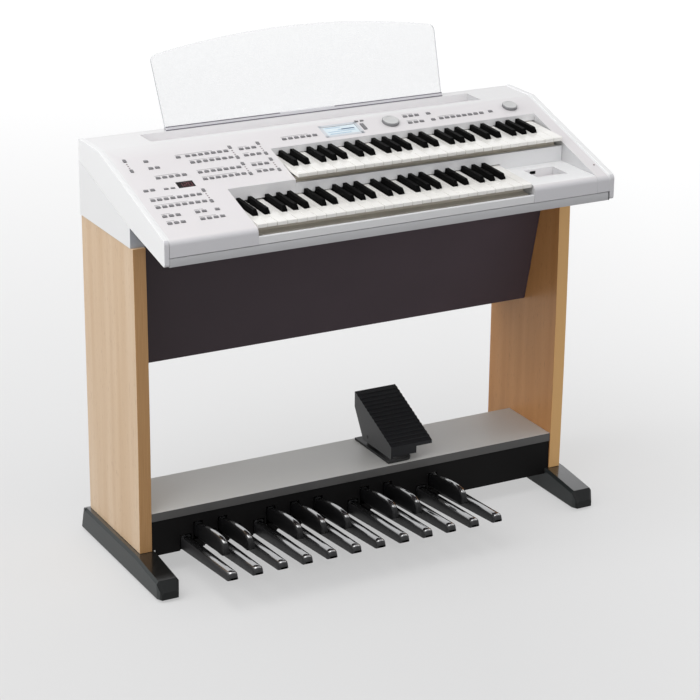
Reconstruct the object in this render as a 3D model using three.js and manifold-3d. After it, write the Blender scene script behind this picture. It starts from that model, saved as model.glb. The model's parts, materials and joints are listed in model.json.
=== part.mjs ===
// An electronic organ with two 49-key manuals, a 20-note pedalboard and an expression pedal.
// Millimetres, +Z up. The player sits on the -Y side and +X is the player's right hand.
import * as THREE from 'three';
import { mergeVertices } from 'three/addons/utils/BufferGeometryUtils.js';
import Module from 'manifold-3d';

const wasm = await Module();
wasm.setup();

// Clearances that every piece shares.
const seat = 0.3;
const overrun = 6;
const arcSteps = 4;
const weldShare = 0.001;

// The manuals. One octave of seven white keys is 164.5 wide.
const keys = {
  pitch: 23.5, whites: 29, gap: 1, thick: 8, lip: 14, edge: 1.5, head: 50,
  sharpHeight: 12, sharpWidth: 11, sharpTop: 9, sharpSlope: 7, sharpNose: 4,
  tailEnd: 186, rail: 6, railThick: 4, railGap: 2.2, firstRail: 152, railPitch: 9,
};
const octave = {
  whites: 7, lowWhites: 3, lowSlots: 5, highWhites: 4, highSlots: 7, firstComb: [0, 2, 4, 6], sharpShare: 1.5,
};
const keyboardWidth = keys.pitch * keys.whites;

// The console is as wide as its control block, the manuals' offset, one manual and the right end.
// Its heights are measured from the tops of the side panels, which carry it.
const shell = {
  leftBlock: 219.3, offset: 164.9, rightEnd: 50.3, overhang: 2.5, armThick: 12, wall: 3,
  noseRadius: 13, rimRise: 2, stripZ: 174.6, strip: 111.2, controlStrip: 72.8, seamFront: 8.6,
  seamKnee: 45.6, seamRear: 125.6, kneeReach: 180, toeRadius: 6,
};
const slant = { inset: 12, z: 70.2 };
const band = { height: 20.5, depth: 12, crown: 1.6, groove: 1.2, grooveDepth: 2.4 };
const slip = { below: 24, inset: 0.6, thick: 7.4, radius: 3 };
const floorPlate = { thick: 4, lip: 3.5, ribThick: 4, ribInset: 20, ribSetback: 14, ribPitch: 86, ribs: 2 };
const halfWidth = (shell.leftBlock + shell.offset + keyboardWidth + shell.rightEnd) / 2;

// The stand: two wooden side panels on two long feet. Y is zero at the panels' front edges.
const panel = { thick: 30, depth: 288, top: 775.4, frontBulge: 3.5, bulgeSteps: 6 };
const foot = {
  proud: 13.5, width: 53.5, front: -135, pastPanel: 30, bottom: 6, height: 60.9, noseHeight: 48,
  heelHeight: 67, heelRise: 1.5, drop: 24, topInset: 4.5, shoulder: 7, noseLength: 14,
  heelLength: 6, endInset: 7,
};
const glide = { radius: 12, fromFront: 26, fromRear: 30, segments: 12 };
const halfSpan = halfWidth - shell.overhang;
const footOuter = halfSpan + foot.proud;
const footEnd = panel.depth + foot.pastPanel;
const caseRear = panel.depth;

// From the rear, the case is a flat strip, the upper controls, the two manuals and the front edge deep.
const manuals = { fromFront: 10, rise: 71.6, setback: 134, climb: 55 };
const well = { clearance: 2.2, reach: 132, keyRoom: 1.6 };
const creaseY = caseRear - shell.strip;
const wellRear = creaseY - shell.controlStrip;
const upperManual = {
  left: shell.leftBlock + shell.offset - halfWidth, front: wellRear - well.reach,
  top: manuals.rise + manuals.climb,
};
const lowerManual = {
  left: shell.leftBlock - halfWidth, front: upperManual.front - manuals.setback, top: manuals.rise,
};
const caseFront = lowerManual.front - manuals.fromFront;
const kneeY = caseFront + shell.kneeReach;
const manualTiltDegrees = 2.5;
const manualTilt = THREE.MathUtils.degToRad(manualTiltDegrees);
const keyFrame = {
  drop: 28, thick: 4, end: 197, ledge: 15, stopAt: 34, stopWidth: 9, stopDrop: 18,
  window: 120, windowFront: 56, windowRear: 146, windows: 4,
  footFront: 78, footRear: 178, footThick: 4, flange: 12, flangeThick: 3, feet: 3,
};
const fascia = { setback: 8, thick: 3, below: 23, drop: 17, flange: 9, pastKeys: 4.7 };
const fasciaY = upperManual.front + fascia.setback;
const fasciaTop = upperManual.top - fascia.below;
const fasciaBottom = lowerManual.top - fascia.drop;
const fasciaEnd = upperManual.left + keyboardWidth + fascia.pastKeys;
const cheek = {
  below: 4, recessInset: 43, recessWidth: 79, recessSetback: 54, recessLength: 65, recessDepth: 19,
};
const port = {
  fromRecess: 25, below: 8, width: 15, height: 7.5, depth: 14, wall: 1.2, rim: 2.2, rimProud: 0.8,
};

// The music rest stands in a slot behind a sloping trough. Setbacks are measured from the case's rear.
const trough = { sideMargin: 136, front: 93, rear: 27.6, depth: 18 };
const rest = {
  leanDegrees: 20.5, setback: 24.4, thick: 5, inset: 65.5, flare: 9.5,
  cornerRadius: 17, peak: 206, archRadius: 1975, archSteps: 12, rail: 9.5, railThick: 9,
  railWall: 2, groove: 6, tongueInset: 1.4, tongue: 5, slotDepth: 13, slotGap: 0.4, slotWall: 4,
};
const restLean = THREE.MathUtils.degToRad(rest.leanDegrees);
const troughHalf = halfWidth - trough.sideMargin;
const restHalf = troughHalf - rest.inset;
const restTopHalf = restHalf + rest.flare;

// Controls keep to a grid on the sloping panel: columns across it, and rows up the slope.
// Their places are shares of one column and one row, counted from the first cap and from the slope's foot.
const grid = { columnCount: 71, rowCount: 13, left: 28.7 };
const button = { width: 9.6, depth: 6.2, level: 6.5, rise: 2, gap: 0.4, sheet: 1.6 };
const buttonRowShares = [
  { x: 3, s: 10.66, count: 1 }, { x: 3, s: 9.62, count: 2 }, { x: 3, s: 8.15, count: 5 },
  { x: 0, s: 6.62, count: 2 }, { x: 3, s: 6.53, count: 2, thin: true }, { x: 8, s: 10.67, count: 1 },
  { x: 9.47, s: 10.67, count: 7 }, { x: 9.47, s: 9.68, count: 7 }, { x: 17.9, s: 10.67, count: 3 },
  { x: 17.9, s: 9.68, count: 3 }, { x: 9.47, s: 8.17, count: 7 }, { x: 9.47, s: 7.17, count: 7 },
  { x: 17.9, s: 8.19, count: 3 }, { x: 17.9, s: 7.21, count: 3 }, { x: 0, s: 5.22, count: 8 },
  { x: 0, s: 4.2, count: 8 }, { x: 0, s: 2.9, count: 3 }, { x: 0, s: 1.9, count: 3 },
  { x: 4.93, s: 2.9, count: 2 }, { x: 7.9, s: 2.9, count: 1 }, { x: 4.93, s: 1.9, count: 4 },
];
const levelKeyShares = [
  { x: 0.07, low: 9.59, high: 11.1 }, { x: 16.42, low: 9.57, high: 11.12 },
  { x: 20.95, low: 9.59, high: 11.17 }, { x: 16.42, low: 7.06, high: 8.57 },
  { x: 20.95, low: 7.06, high: 8.66 }, { x: 8, low: 4.1, high: 5.68 },
];
const upperRowShares = [
  { x: 25.31, s: 11.26, count: 6 }, { x: 46.35, s: 12.25, count: 3 }, { x: 50.36, s: 12.26, count: 1 },
  { x: 46.3, s: 11.24, count: 3 }, { x: 50.3, s: 11.26, count: 1 }, { x: 51.72, s: 11.3, count: 8 },
  { x: 60.36, s: 11.35, count: 1 },
];
const pagerShares = { x: 38.71, low: 11.14, high: 12.02, keyRow: 12.46, spread: 0.91 };
const pagerWidth = 8;
const thinShare = 0.5;
const screen = { flange: 3, sunk: 0.8, depth: 9 };
const lcdShares = { left: 32.27, right: 37.67, low: 10.93, high: 12.22 };
const ledShares = { left: 4.91, right: 7.48, low: 6.43, high: 7.3 };
const dial = {
  height: 8, edge: 1.5, shaft: 4, shaftLength: 14, dish: 0.8, hubShare: 0.72, segments: 16, room: 3,
};
const matShares = {
  leftX: [-0.85, 21.6], leftNarrow: 10.73, leftS: [1.48, 5.9, 11.5], upperX: [24.5, 61.1],
  upperS: [10.95, 12.68],
};
const dataDial = { columnShare: 43.33, rowShare: 11.7, radius: 19.5 };
const tempoDial = { columnShare: 64.05, rowShare: 11.65, radius: 17.5 };

// The knee panel, the speaker box behind it and its two drivers.
const knee = { bottomZ: 456.7, behindStep: 51, thick: 15 };
const box = { board: 15, depth: 152.5 };
const speaker = {
  placeShare: 0.628, flangeShare: 0.478, holeShare: 0.862, coneShare: 0.76, magnetShare: 0.517,
  coilShare: 0.241, flangeThick: 4, basket: 36, magnetHigh: 18, coneTop: 6, coilHigh: 22, segments: 12,
};
const board = {
  fromLeft: 145.7, fromRear: 66, width: 190, depth: 96, thick: 1.6, post: 4, postHigh: 8, inset: 8,
};
const chips = { width: 22, high: 4, spacing: 44, count: 4, connector: 12 };
const supply = {
  fromRight: 185.7, fromRear: 66, width: 130, depth: 84, high: 42, vent: 4, vents: 7, ventPitch: 11,
  ventSide: 18, ventDeep: 3, tab: 12, tabThick: 3,
};

// The pedal unit. A pedal's places are measured from the bay's left side, its Y from the panels' front edges.
const shelf = { depth: 186.5, top: 152.5, thick: 20.5 };
const pedalWall = { y: 3, thick: 4, bottom: 47 };
const chassis = {
  behindWall: 2, setIn: 2.5, bottom: 47, plate: 3, back: 4, stopAt: 24, stopWide: 12, stopGap: 1.2, rod: 4,
  bracket: 5, bracketDepth: 36, hingeSetback: 24, gapShares: [-1, 2.5, 6.5, 9.5, 12],
};
const pedal = {
  fromLeft: 84.2, pitch: 61, hingeZ: 84, eye: 8, tailThick: 14, tailFront: 2, side: 1.2,
  slotHead: 2.5, bore: 4.5, segments: 8, travelDegrees: 3.1,
};
const natural = {
  count: 12, halfBottom: 13, halfShoulder: 11.5, halfTop: 8.5, chamfer: 3.5, front: -247, nose: 9,
  brow: 3, tipIn: 3, browIn: 1, wallTop: 82.6, wallBottom: 52, frontTop: 97, frontBottom: 75, noseDrop: 8,
  browDrop: 2.7, noseTuck: 4, innerTop: 80, innerBottom: 66, inner: 8,
};
const raised = {
  placeShares: [0.5, 1.5, 3.5, 4.5, 5.5, 7.5, 8.5, 10.5], halfBottom: 10.5, halfShoulder: 8, halfTop: 5,
  chamfer: 4, front: -147, brow: 7, tipIn: 2, browIn: 1, wallTop: 109, wallBottom: 79, crest: 126,
  crestFront: -118, crestRear: -56, frontBottom: 88, noseDrop: 16, browDrop: 5.3, innerTop: 104,
  innerBottom: 86, inner: 8,
};

// The expression pedal and its pedestal. Their heights are measured from the top of the shelf.
const expression = {
  left: 86, right: 196, front: 3, rear: 184, frontTop: 43.5, frontBottom: 18.5, rise: 78, plate: 8,
  flank: 5, flankBottom: 13.5, flankEnd: 140, flankRear: 83.5, rib: 1.5, ribWidth: 5, ribPitch: 12,
  pivotY: 118, pivotZ: 28.5, pin: 4, bore: 4.5,
};
const pedestal = {
  left: 83, right: 150, front: 9.6, flange: 6, rear: 176, corner: 20, inset: 10, half: 14, head: 6,
};

// Materials, one for each finish.
function finish(color, roughness, metalness = 0) {
  return new THREE.MeshStandardMaterial({ color, roughness, metalness });
}
const beech = finish(0xd9bd95, 0.45);
const slate = finish(0x4c5052, 0.5);
const white = finish(0xe9e9e8, 0.4);
const paleGrey = finish(0xcfd0d2, 0.45);
const silver = finish(0xb4b7ba, 0.32, 0.6);
const ivory = finish(0xf6f4ec, 0.25);
const ebony = finish(0x111112, 0.3);
const glossBlack = finish(0x0c0c0d, 0.18);
const plum = finish(0x352c33, 0.85);
const shelfGrey = finish(0x8f8f8c, 0.6);
const keyGrey = finish(0x8b8b8d, 0.5);
const acrylic = finish(0xeef1f5, 0.15);
const screenBlue = finish(0xa9cfe0, 0.2);
const displayRed = finish(0x2a0d0f, 0.2);
const circuit = finish(0x1f5a35, 0.6);
const steel = finish(0x9a9da0, 0.35, 0.9);

// Outline points as [a, b] or [a, b, radius]; a radius rounds that corner with a short arc.
function outline(points) {
  const result = [];
  const count = points.length;
  points.forEach(([a, b, radius], index) => {
    const corner = new THREE.Vector2(a, b);
    if (!radius) {
      result.push(corner);
      return;
    }
    const before = new THREE.Vector2(...points[(index + count - 1) % count].slice(0, 2)).sub(corner);
    const after = new THREE.Vector2(...points[(index + 1) % count].slice(0, 2)).sub(corner);
    const inward = before.clone().normalize();
    const outward = after.clone().normalize();
    const half = Math.acos(THREE.MathUtils.clamp(inward.dot(outward), -1, 1)) / 2;
    const reach = radius / Math.tan(half);
    const centre = inward.clone().add(outward).normalize().multiplyScalar(radius / Math.sin(half)).add(corner);
    const first = inward.multiplyScalar(reach).add(corner).sub(centre);
    const last = outward.multiplyScalar(reach).add(corner).sub(centre);
    const turn = Math.atan2(first.x * last.y - first.y * last.x, first.dot(last));
    for (let step = 0; step <= arcSteps; step += 1) {
      result.push(first.clone().rotateAround(new THREE.Vector2(), (turn * step) / arcSteps).add(centre));
    }
  });
  return result;
}

function signedVolume(geometry) {
  const corners = [new THREE.Vector3(), new THREE.Vector3(), new THREE.Vector3()];
  let total = 0;
  for (let face = 0; face < geometry.index.count; face += 3) {
    corners.forEach((corner, side) => {
      corner.fromBufferAttribute(geometry.attributes.position, geometry.index.getX(face + side));
    });
    total += corners[0].dot(corners[1].cross(corners[2]));
  }
  return total;
}

// A closed mesh becomes a solid that can be cut and joined; inside-out meshes are turned round.
function toSolid(geometry) {
  const plain = geometry.index ? geometry.toNonIndexed() : geometry.clone();
  for (const name of Object.keys(plain.attributes)) {
    if (name !== 'position') {
      plain.deleteAttribute(name);
    }
  }
  const merged = mergeVertices(plain, seat * weldShare);
  const vertProperties = new Float32Array(merged.attributes.position.array);
  const triVerts = new Uint32Array(merged.index.array);
  if (signedVolume(merged) < 0) {
    triVerts.reverse();
  }
  return new wasm.Manifold(new wasm.Mesh({ numProp: 3, vertProperties, triVerts }));
}

function toGeometry(solid) {
  const mesh = solid.getMesh();
  const geometry = new THREE.BufferGeometry();
  const places = new Float32Array(mesh.numVert * 3);
  for (let index = 0; index < mesh.numVert; index += 1) {
    for (let axis = 0; axis < 3; axis += 1) {
      places[index * 3 + axis] = mesh.vertProperties[index * mesh.numProp + axis];
    }
  }
  geometry.setAttribute('position', new THREE.BufferAttribute(places, 3));
  geometry.setIndex(new THREE.BufferAttribute(new Uint32Array(mesh.triVerts), 1));
  return geometry;
}

function block(x0, x1, y0, y1, z0, z1) {
  const geometry = new THREE.BoxGeometry(x1 - x0, y1 - y0, z1 - z0);
  geometry.translate((x0 + x1) / 2, (y0 + y1) / 2, (z0 + z1) / 2);
  return toSolid(geometry);
}

// A flat outline in X and Y, drawn up from z0 to z1.
function prismZ(points, z0, z1) {
  const geometry = new THREE.ExtrudeGeometry(new THREE.Shape(outline(points)), {
    depth: z1 - z0, bevelEnabled: false, steps: 1,
  });
  geometry.translate(0, 0, z0);
  return toSolid(geometry);
}

// A side outline in Y and Z, drawn across from x0 to x1.
function prismX(points, x0, x1) {
  const geometry = new THREE.ExtrudeGeometry(new THREE.Shape(outline(points)), {
    depth: x1 - x0, bevelEnabled: false, steps: 1,
  });
  geometry.applyMatrix4(new THREE.Matrix4().set(0, 0, 1, x0, 1, 0, 0, 0, 0, 1, 0, 0, 0, 0, 0, 1));
  return toSolid(geometry);
}

// A front outline in X and Z, drawn back from y0 to y1.
function prismY(points, y0, y1) {
  const geometry = new THREE.ExtrudeGeometry(new THREE.Shape(outline(points)), {
    depth: y1 - y0, bevelEnabled: false, steps: 1,
  });
  geometry.rotateX(Math.PI / 2);
  geometry.translate(0, y1, 0);
  return toSolid(geometry);
}

// A radius and height outline, turned about an upright axis through x and y.
function turned(points, x, y, z, segments) {
  const geometry = new THREE.LatheGeometry(points.map(([r, h]) => new THREE.Vector2(r, h)), segments);
  geometry.rotateX(Math.PI / 2);
  geometry.translate(x, y, z);
  return toSolid(geometry);
}

// Closed rings with the same number of points, joined one to the next and capped at both ends.
function loft(rings) {
  const size = rings[0].length;
  const places = [];
  const faces = [];
  rings.forEach((ring) => ring.forEach((point) => places.push(point.x, point.y, point.z)));
  for (let ring = 0; ring + 1 < rings.length; ring += 1) {
    for (let side = 0; side < size; side += 1) {
      const next = (side + 1) % size;
      const a = ring * size + side;
      const b = ring * size + next;
      faces.push(a, b, b + size, a, b + size, a + size);
    }
  }
  const lastRing = (rings.length - 1) * size;
  for (let side = 1; side + 1 < size; side += 1) {
    faces.push(0, side + 1, side, lastRing, lastRing + side, lastRing + side + 1);
  }
  const geometry = new THREE.BufferGeometry();
  geometry.setAttribute('position', new THREE.Float32BufferAttribute(places, 3));
  geometry.setIndex(faces);
  return toSolid(geometry);
}

function joined(solids) {
  return solids.reduce((whole, solid) => whole.add(solid));
}

function cut(solid, tools) {
  return tools.length ? solid.subtract(joined(tools)) : solid;
}

// The console stands on the side panels, and the expression pedal on the shelf.
const organ = new THREE.Group();
const body = new THREE.Group();
const consoleCase = new THREE.Group();
const onShelf = new THREE.Group();
consoleCase.position.z = panel.top;
onShelf.position.z = shelf.top;
organ.add(body);
body.add(consoleCase, onShelf);

function place(name, solid, material, parent = body) {
  const mesh = new THREE.Mesh(toGeometry(solid), material);
  mesh.name = name;
  parent.add(mesh);
  return mesh;
}

// Heights and lines that several pieces follow.
function slopeBetween(y, y0, z0, y1, z1) {
  return z0 + ((z1 - z0) * (y - y0)) / (y1 - y0);
}
function seamZ(y) {
  return y < kneeY
    ? slopeBetween(y, caseFront, shell.seamFront, kneeY, shell.seamKnee)
    : slopeBetween(y, kneeY, shell.seamKnee, caseRear, shell.seamRear);
}
function topCaseBottom(y) {
  return seamZ(y) + band.height + 2 * seat;
}
const slantY = caseFront + slant.inset;
const slopeAngle = Math.atan2(shell.stripZ - slant.z, creaseY - slantY);
const slopeLength = Math.hypot(shell.stripZ - slant.z, creaseY - slantY);
function slantZ(y) {
  return slopeBetween(y, slantY, slant.z, creaseY, shell.stripZ);
}
const panelZ = shell.stripZ - shell.rimRise;
const caseFloor = seat;
const bayHalf = halfSpan - panel.thick - seat;
const innerHalf = halfWidth - shell.armThick - seat;
const bandTop = shell.seamFront + band.height;
const bandRear = caseFront + band.depth;
const frameStart = fasciaY + fascia.thick + seat - upperManual.front;

function keyTop(manual, y) {
  return manual.top + Math.tan(manualTilt) * (y - manual.front);
}
function frameUnderside(manual, y) {
  return keyTop(manual, y) - (keyFrame.drop + keyFrame.thick) / Math.cos(manualTilt);
}

const panelMatrix = new THREE.Matrix4()
  .makeRotationX(slopeAngle)
  .setPosition(0, slantY, slant.z - shell.rimRise);

function moved(solid, matrix) {
  return toSolid(toGeometry(solid).applyMatrix4(matrix));
}

function mirroredX(solid) {
  return moved(solid, new THREE.Matrix4().makeScale(-1, 1, 1));
}

function rodX(x0, x1, y, z, radius, segments) {
  const geometry = new THREE.CylinderGeometry(radius, radius, x1 - x0, segments);
  geometry.rotateZ(Math.PI / 2);
  geometry.translate((x0 + x1) / 2, y, z);
  return toSolid(geometry);
}

// The stand.
function sidePanel() {
  const low = foot.height + seat;
  const front = [];
  for (let step = 0; step <= panel.bulgeSteps; step += 1) {
    const share = step / panel.bulgeSteps;
    front.push([-4 * panel.frontBulge * share * (1 - share), THREE.MathUtils.lerp(low, panel.top, share)]);
  }
  const outlinePoints = [...front, [panel.depth, panel.top], [panel.depth, low]];
  return prismX(outlinePoints, halfSpan - panel.thick, halfSpan);
}

function footRing(y, top, inset) {
  const outer = footOuter - inset;
  const inner = footOuter - foot.width + inset;
  return [
    [inner, foot.bottom], [outer, foot.bottom], [outer, top - foot.shoulder],
    [outer - foot.topInset, top], [inner + foot.topInset, top], [inner, top - foot.shoulder],
  ].map(([x, z]) => new THREE.Vector3(x, y, z));
}

function footSolid() {
  const heelY = panel.depth + seat;
  const runner = loft([
    footRing(foot.front, foot.noseHeight - foot.drop, foot.endInset),
    footRing(foot.front + foot.noseLength, foot.noseHeight, 0),
    footRing(-panel.frontBulge, foot.height, 0),
    footRing(heelY, foot.height, 0),
    footRing(heelY + foot.heelRise, foot.heelHeight, 0),
    footRing(footEnd - foot.heelLength, foot.heelHeight, 0),
    footRing(footEnd, foot.heelHeight - foot.drop, foot.endInset),
  ]);
  const middle = footOuter - foot.width / 2;
  const profile = [[0, 0], [glide.radius, 0], [glide.radius, foot.bottom + seat], [0, foot.bottom + seat]];
  const glides = [foot.front + glide.fromFront, footEnd - glide.fromRear].map((y) =>
    turned(profile, middle, y, 0, glide.segments));
  return joined([runner, ...glides]);
}

place('right_side_panel', sidePanel(), beech);
place('left_side_panel', mirroredX(sidePanel()), beech);
place('right_foot', footSolid(), slate);
place('left_foot', mirroredX(footSolid()), slate);

// The pedal unit: a shelf, a slotted front wall and a chassis with one long hinge rod.
const shelfBottom = shelf.top - shelf.thick;
const wallTop = shelfBottom - seat;
place('pedal_shelf', block(-bayHalf, bayHalf, 0, shelf.depth, shelfBottom, shelf.top), shelfGrey);

const firstPedalX = pedal.fromLeft - bayHalf;
const chassisRear = shelf.depth - chassis.setIn;
const hingeY = chassisRear - chassis.hingeSetback;
const naturalPlaces = [...Array(natural.count).keys()].map((index) => firstPedalX + pedal.pitch * index);
const raisedPlaces = raised.placeShares.map((share) => firstPedalX + pedal.pitch * share);

function pedalDrop(y) {
  return Math.tan(THREE.MathUtils.degToRad(pedal.travelDegrees)) * (hingeY - y);
}

function frontWall() {
  const rear = pedalWall.y + pedalWall.thick;
  const naturalHalf = natural.halfBottom + pedal.side;
  const raisedHalf = raised.halfBottom + pedal.side;
  const sillZ = raised.wallBottom - pedalDrop(pedalWall.y) - pedal.slotHead;
  const slots = [
    ...naturalPlaces.map((x) => block(x - naturalHalf, x + naturalHalf, pedalWall.y - overrun, rear + overrun,
      pedalWall.bottom - overrun, natural.wallTop + pedal.slotHead)),
    ...raisedPlaces.map((x) => block(x - raisedHalf, x + raisedHalf, pedalWall.y - overrun, rear + overrun,
      sillZ, raised.wallTop + pedal.slotHead)),
  ];
  const footInner = footOuter - foot.width - seat;
  const notch = block(footInner, footOuter, pedalWall.y - overrun, rear + overrun, pedalWall.bottom - overrun,
    foot.height + seat);
  const wall = block(-bayHalf, bayHalf, pedalWall.y, rear, pedalWall.bottom, wallTop);
  return cut(wall, [...slots, notch, mirroredX(notch)]);
}
place('pedal_front_wall', frontWall(), slate);

function pedalChassis() {
  const gapAt = (share) => firstPedalX + pedal.pitch * share;
  const left = gapAt(chassis.gapShares[0]);
  const right = gapAt(chassis.gapShares[chassis.gapShares.length - 1]);
  const front = pedalWall.y + pedalWall.thick + chassis.behindWall;
  const bracketFront = chassisRear - chassis.bracketDepth;
  const stopTop = natural.innerBottom - pedalDrop(chassis.stopAt) - chassis.stopGap;
  const plate = block(left, right, front, chassisRear, chassis.bottom, chassis.bottom + chassis.plate);
  const back = block(left, right, chassisRear - chassis.back, chassisRear, chassis.bottom, wallTop);
  const stop = block(left, right, chassis.stopAt, chassis.stopAt + chassis.stopWide, chassis.bottom, stopTop);
  const brackets = chassis.gapShares.map((share) => {
    const x = THREE.MathUtils.clamp(gapAt(share), left + chassis.bracket / 2, right - chassis.bracket / 2);
    return prismX([
      [bracketFront, chassis.bottom], [chassisRear, chassis.bottom], [chassisRear, wallTop],
      [hingeY + pedal.eye, wallTop], [bracketFront, pedal.hingeZ + pedal.eye],
    ], x - chassis.bracket / 2, x + chassis.bracket / 2);
  });
  const rod = rodX(left, right, hingeY, pedal.hingeZ, chassis.rod, pedal.segments);
  return joined([plate, back, stop, ...brackets, rod]);
}
place('pedal_chassis', pedalChassis(), steel);

function pedalRing(y, x, low, high, kind, drawIn) {
  const bottom = kind.halfBottom - drawIn;
  const shoulder = kind.halfShoulder - drawIn;
  const top = kind.halfTop - drawIn / 2;
  return [
    [-bottom, low], [bottom, low], [shoulder, high - kind.chamfer], [top, high], [-top, high],
    [-shoulder, high - kind.chamfer],
  ].map(([across, z]) => new THREE.Vector3(x + across, y, z));
}

function pedalTail(x, kind) {
  const eyeRear = hingeY + pedal.eye;
  const { hingeZ, eye, tailThick, tailFront } = pedal;
  const arm = prismX([
    [tailFront, kind.innerBottom], [hingeY, hingeZ - eye], [eyeRear, hingeZ - eye / 2],
    [eyeRear, hingeZ + eye / 2], [hingeY, hingeZ + eye], [tailFront, kind.innerTop],
  ], x - tailThick / 2, x + tailThick / 2);
  const hole = rodX(x - tailThick, x + tailThick, hingeY, hingeZ, pedal.bore, pedal.segments);
  return cut(arm, [hole]);
}

function naturalPedal(x) {
  const { front, nose, brow, frontTop, frontBottom, wallTop: neck } = natural;
  const lever = loft([
    pedalRing(front, x, frontBottom + natural.noseTuck, frontTop - natural.noseDrop, natural, natural.tipIn),
    pedalRing(front + brow, x, frontBottom, frontTop - natural.browDrop, natural, natural.browIn),
    pedalRing(front + nose, x, frontBottom, frontTop, natural, 0),
    pedalRing(0, x, natural.wallBottom, neck, natural, 0),
    pedalRing(natural.inner, x, natural.innerBottom, neck, natural, 0),
  ]);
  return joined([lever, pedalTail(x, natural)]);
}

function raisedPedal(x) {
  const { front, brow, crest, frontBottom, wallTop: neck } = raised;
  const lever = loft([
    pedalRing(front, x, frontBottom, crest - raised.noseDrop, raised, raised.tipIn),
    pedalRing(front + brow, x, frontBottom, crest - raised.browDrop, raised, raised.browIn),
    pedalRing(raised.crestFront, x, frontBottom, crest, raised, 0),
    pedalRing(raised.crestRear, x, frontBottom, crest - raised.chamfer / 2, raised, 0),
    pedalRing(0, x, raised.wallBottom, neck, raised, 0),
    pedalRing(raised.inner, x, raised.innerBottom, neck, raised, 0),
  ]);
  return joined([lever, pedalTail(x, raised)]);
}

const noteNames = ['c', 'd', 'e', 'f', 'g', 'a', 'b'];
function pedalName(step, mark) {
  const whole = Math.floor(step);
  return `pedal_${noteNames[whole % octave.whites]}${mark}${1 + Math.floor(whole / octave.whites)}`;
}
naturalPlaces.forEach((x, index) => place(pedalName(index, ''), naturalPedal(x), glossBlack));
raised.placeShares.forEach((share, index) => {
  place(pedalName(share, '_sharp'), raisedPedal(raisedPlaces[index]), glossBlack);
});

// The expression pedal rocks on a pin that its pedestal carries.
function expressionBase() {
  const { left, right, front, rear, corner } = pedestal;
  const flange = prismZ([
    [left, front], [right, front, corner], [right, rear], [left, rear],
  ], seat, seat + pedestal.flange);
  const column = block(left + pedestal.inset, right - pedestal.inset, expression.pivotY - pedestal.half,
    expression.pivotY + pedestal.half, seat, expression.pivotZ + expression.pin + pedestal.head);
  const pin = rodX(expression.left, expression.right, expression.pivotY, expression.pivotZ, expression.pin,
    pedal.segments);
  return joined([flange, column, pin]);
}
place('expression_base', expressionBase(), slate, onShelf);

function treadleTop(y) {
  return slopeBetween(y, expression.front, expression.frontTop, expression.rear,
    expression.frontTop + expression.rise);
}

function expressionPedal() {
  const { left, right, front, rear, flank, plate, rib, ribWidth, ribPitch } = expression;
  const top = [[front, treadleTop(front)]];
  for (let y = front + ribPitch; y + ribWidth < rear; y += ribPitch) {
    top.push([y, treadleTop(y)], [y, treadleTop(y) + rib]);
    top.push([y + ribWidth, treadleTop(y + ribWidth) + rib], [y + ribWidth, treadleTop(y + ribWidth)]);
  }
  const tread = prismX([
    ...top, [rear, treadleTop(rear)], [rear, treadleTop(rear) - plate], [front, treadleTop(front) - plate],
  ], left, right);
  const skirt = block(left, right, front, front + flank, expression.frontBottom, treadleTop(front) - plate / 2);
  const cheekOutline = [
    [front, expression.flankBottom], [expression.flankEnd, expression.flankBottom],
    [rear, expression.flankRear], [rear, treadleTop(rear) - plate / 2],
    [front, treadleTop(front) - plate / 2],
  ];
  const flanks = [prismX(cheekOutline, left, left + flank), prismX(cheekOutline, right - flank, right)];
  const bore = rodX(left - overrun, right + overrun, expression.pivotY, expression.pivotZ, expression.bore,
    pedal.segments);
  return cut(joined([tread, skirt, ...flanks]), [bore]);
}
place('expression_pedal', expressionPedal(), ebony, onShelf);

// The leaning knee panel, with the speaker box behind it.
const kneeBottomY = panel.depth - box.depth;
const kneeTopY = kneeY + knee.behindStep;
const kneeReach = Math.hypot(kneeTopY - kneeBottomY, panel.top - knee.bottomZ);
const kneeThickY = (knee.thick * kneeReach) / (panel.top - knee.bottomZ);
place('knee_panel', prismX([
  [kneeTopY, panel.top], [kneeTopY + kneeThickY, panel.top],
  [kneeBottomY + kneeThickY, knee.bottomZ], [kneeBottomY, knee.bottomZ],
], -bayHalf, bayHalf), plum);

const floorFront = kneeBottomY + kneeThickY + seat;
const speakerX = bayHalf * speaker.placeShare;
const boxRear = panel.depth - box.board;
const speakerY = (floorFront + boxRear) / 2;
const flangeRadius = (boxRear - floorFront) * speaker.flangeShare;
const holeRadius = flangeRadius * speaker.holeShare;

function speakerBox() {
  const floorTop = knee.bottomZ + box.board;
  const boards = prismX([
    [floorFront, knee.bottomZ], [panel.depth, knee.bottomZ], [panel.depth, panel.top],
    [panel.depth - box.board, panel.top], [panel.depth - box.board, floorTop], [floorFront, floorTop],
  ], -bayHalf, bayHalf);
  const low = knee.bottomZ - overrun;
  const high = floorTop + overrun;
  const holeProfile = [[0, 0], [holeRadius, 0], [holeRadius, high - low], [0, high - low]];
  const holes = [-speakerX, speakerX].map((x) => turned(holeProfile, x, speakerY, low, speaker.segments));
  return cut(boards, holes);
}
place('speaker_box', speakerBox(), plum);

function speakerDriver(x) {
  const { flangeThick, basket, coneTop, coilHigh } = speaker;
  const motor = basket + speaker.magnetHigh;
  const magnet = flangeRadius * speaker.magnetShare;
  return turned([
    [0, coilHigh], [flangeRadius * speaker.coilShare, coilHigh], [flangeRadius * speaker.coneShare, coneTop],
    [holeRadius - flangeThick, 0], [flangeRadius, 0], [flangeRadius, flangeThick], [holeRadius, flangeThick],
    [magnet, basket], [magnet, motor], [0, motor],
  ], x, speakerY, knee.bottomZ + box.board + seat, speaker.segments);
}
place('left_speaker', speakerDriver(-speakerX), ebony);
place('right_speaker', speakerDriver(speakerX), ebony);

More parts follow.
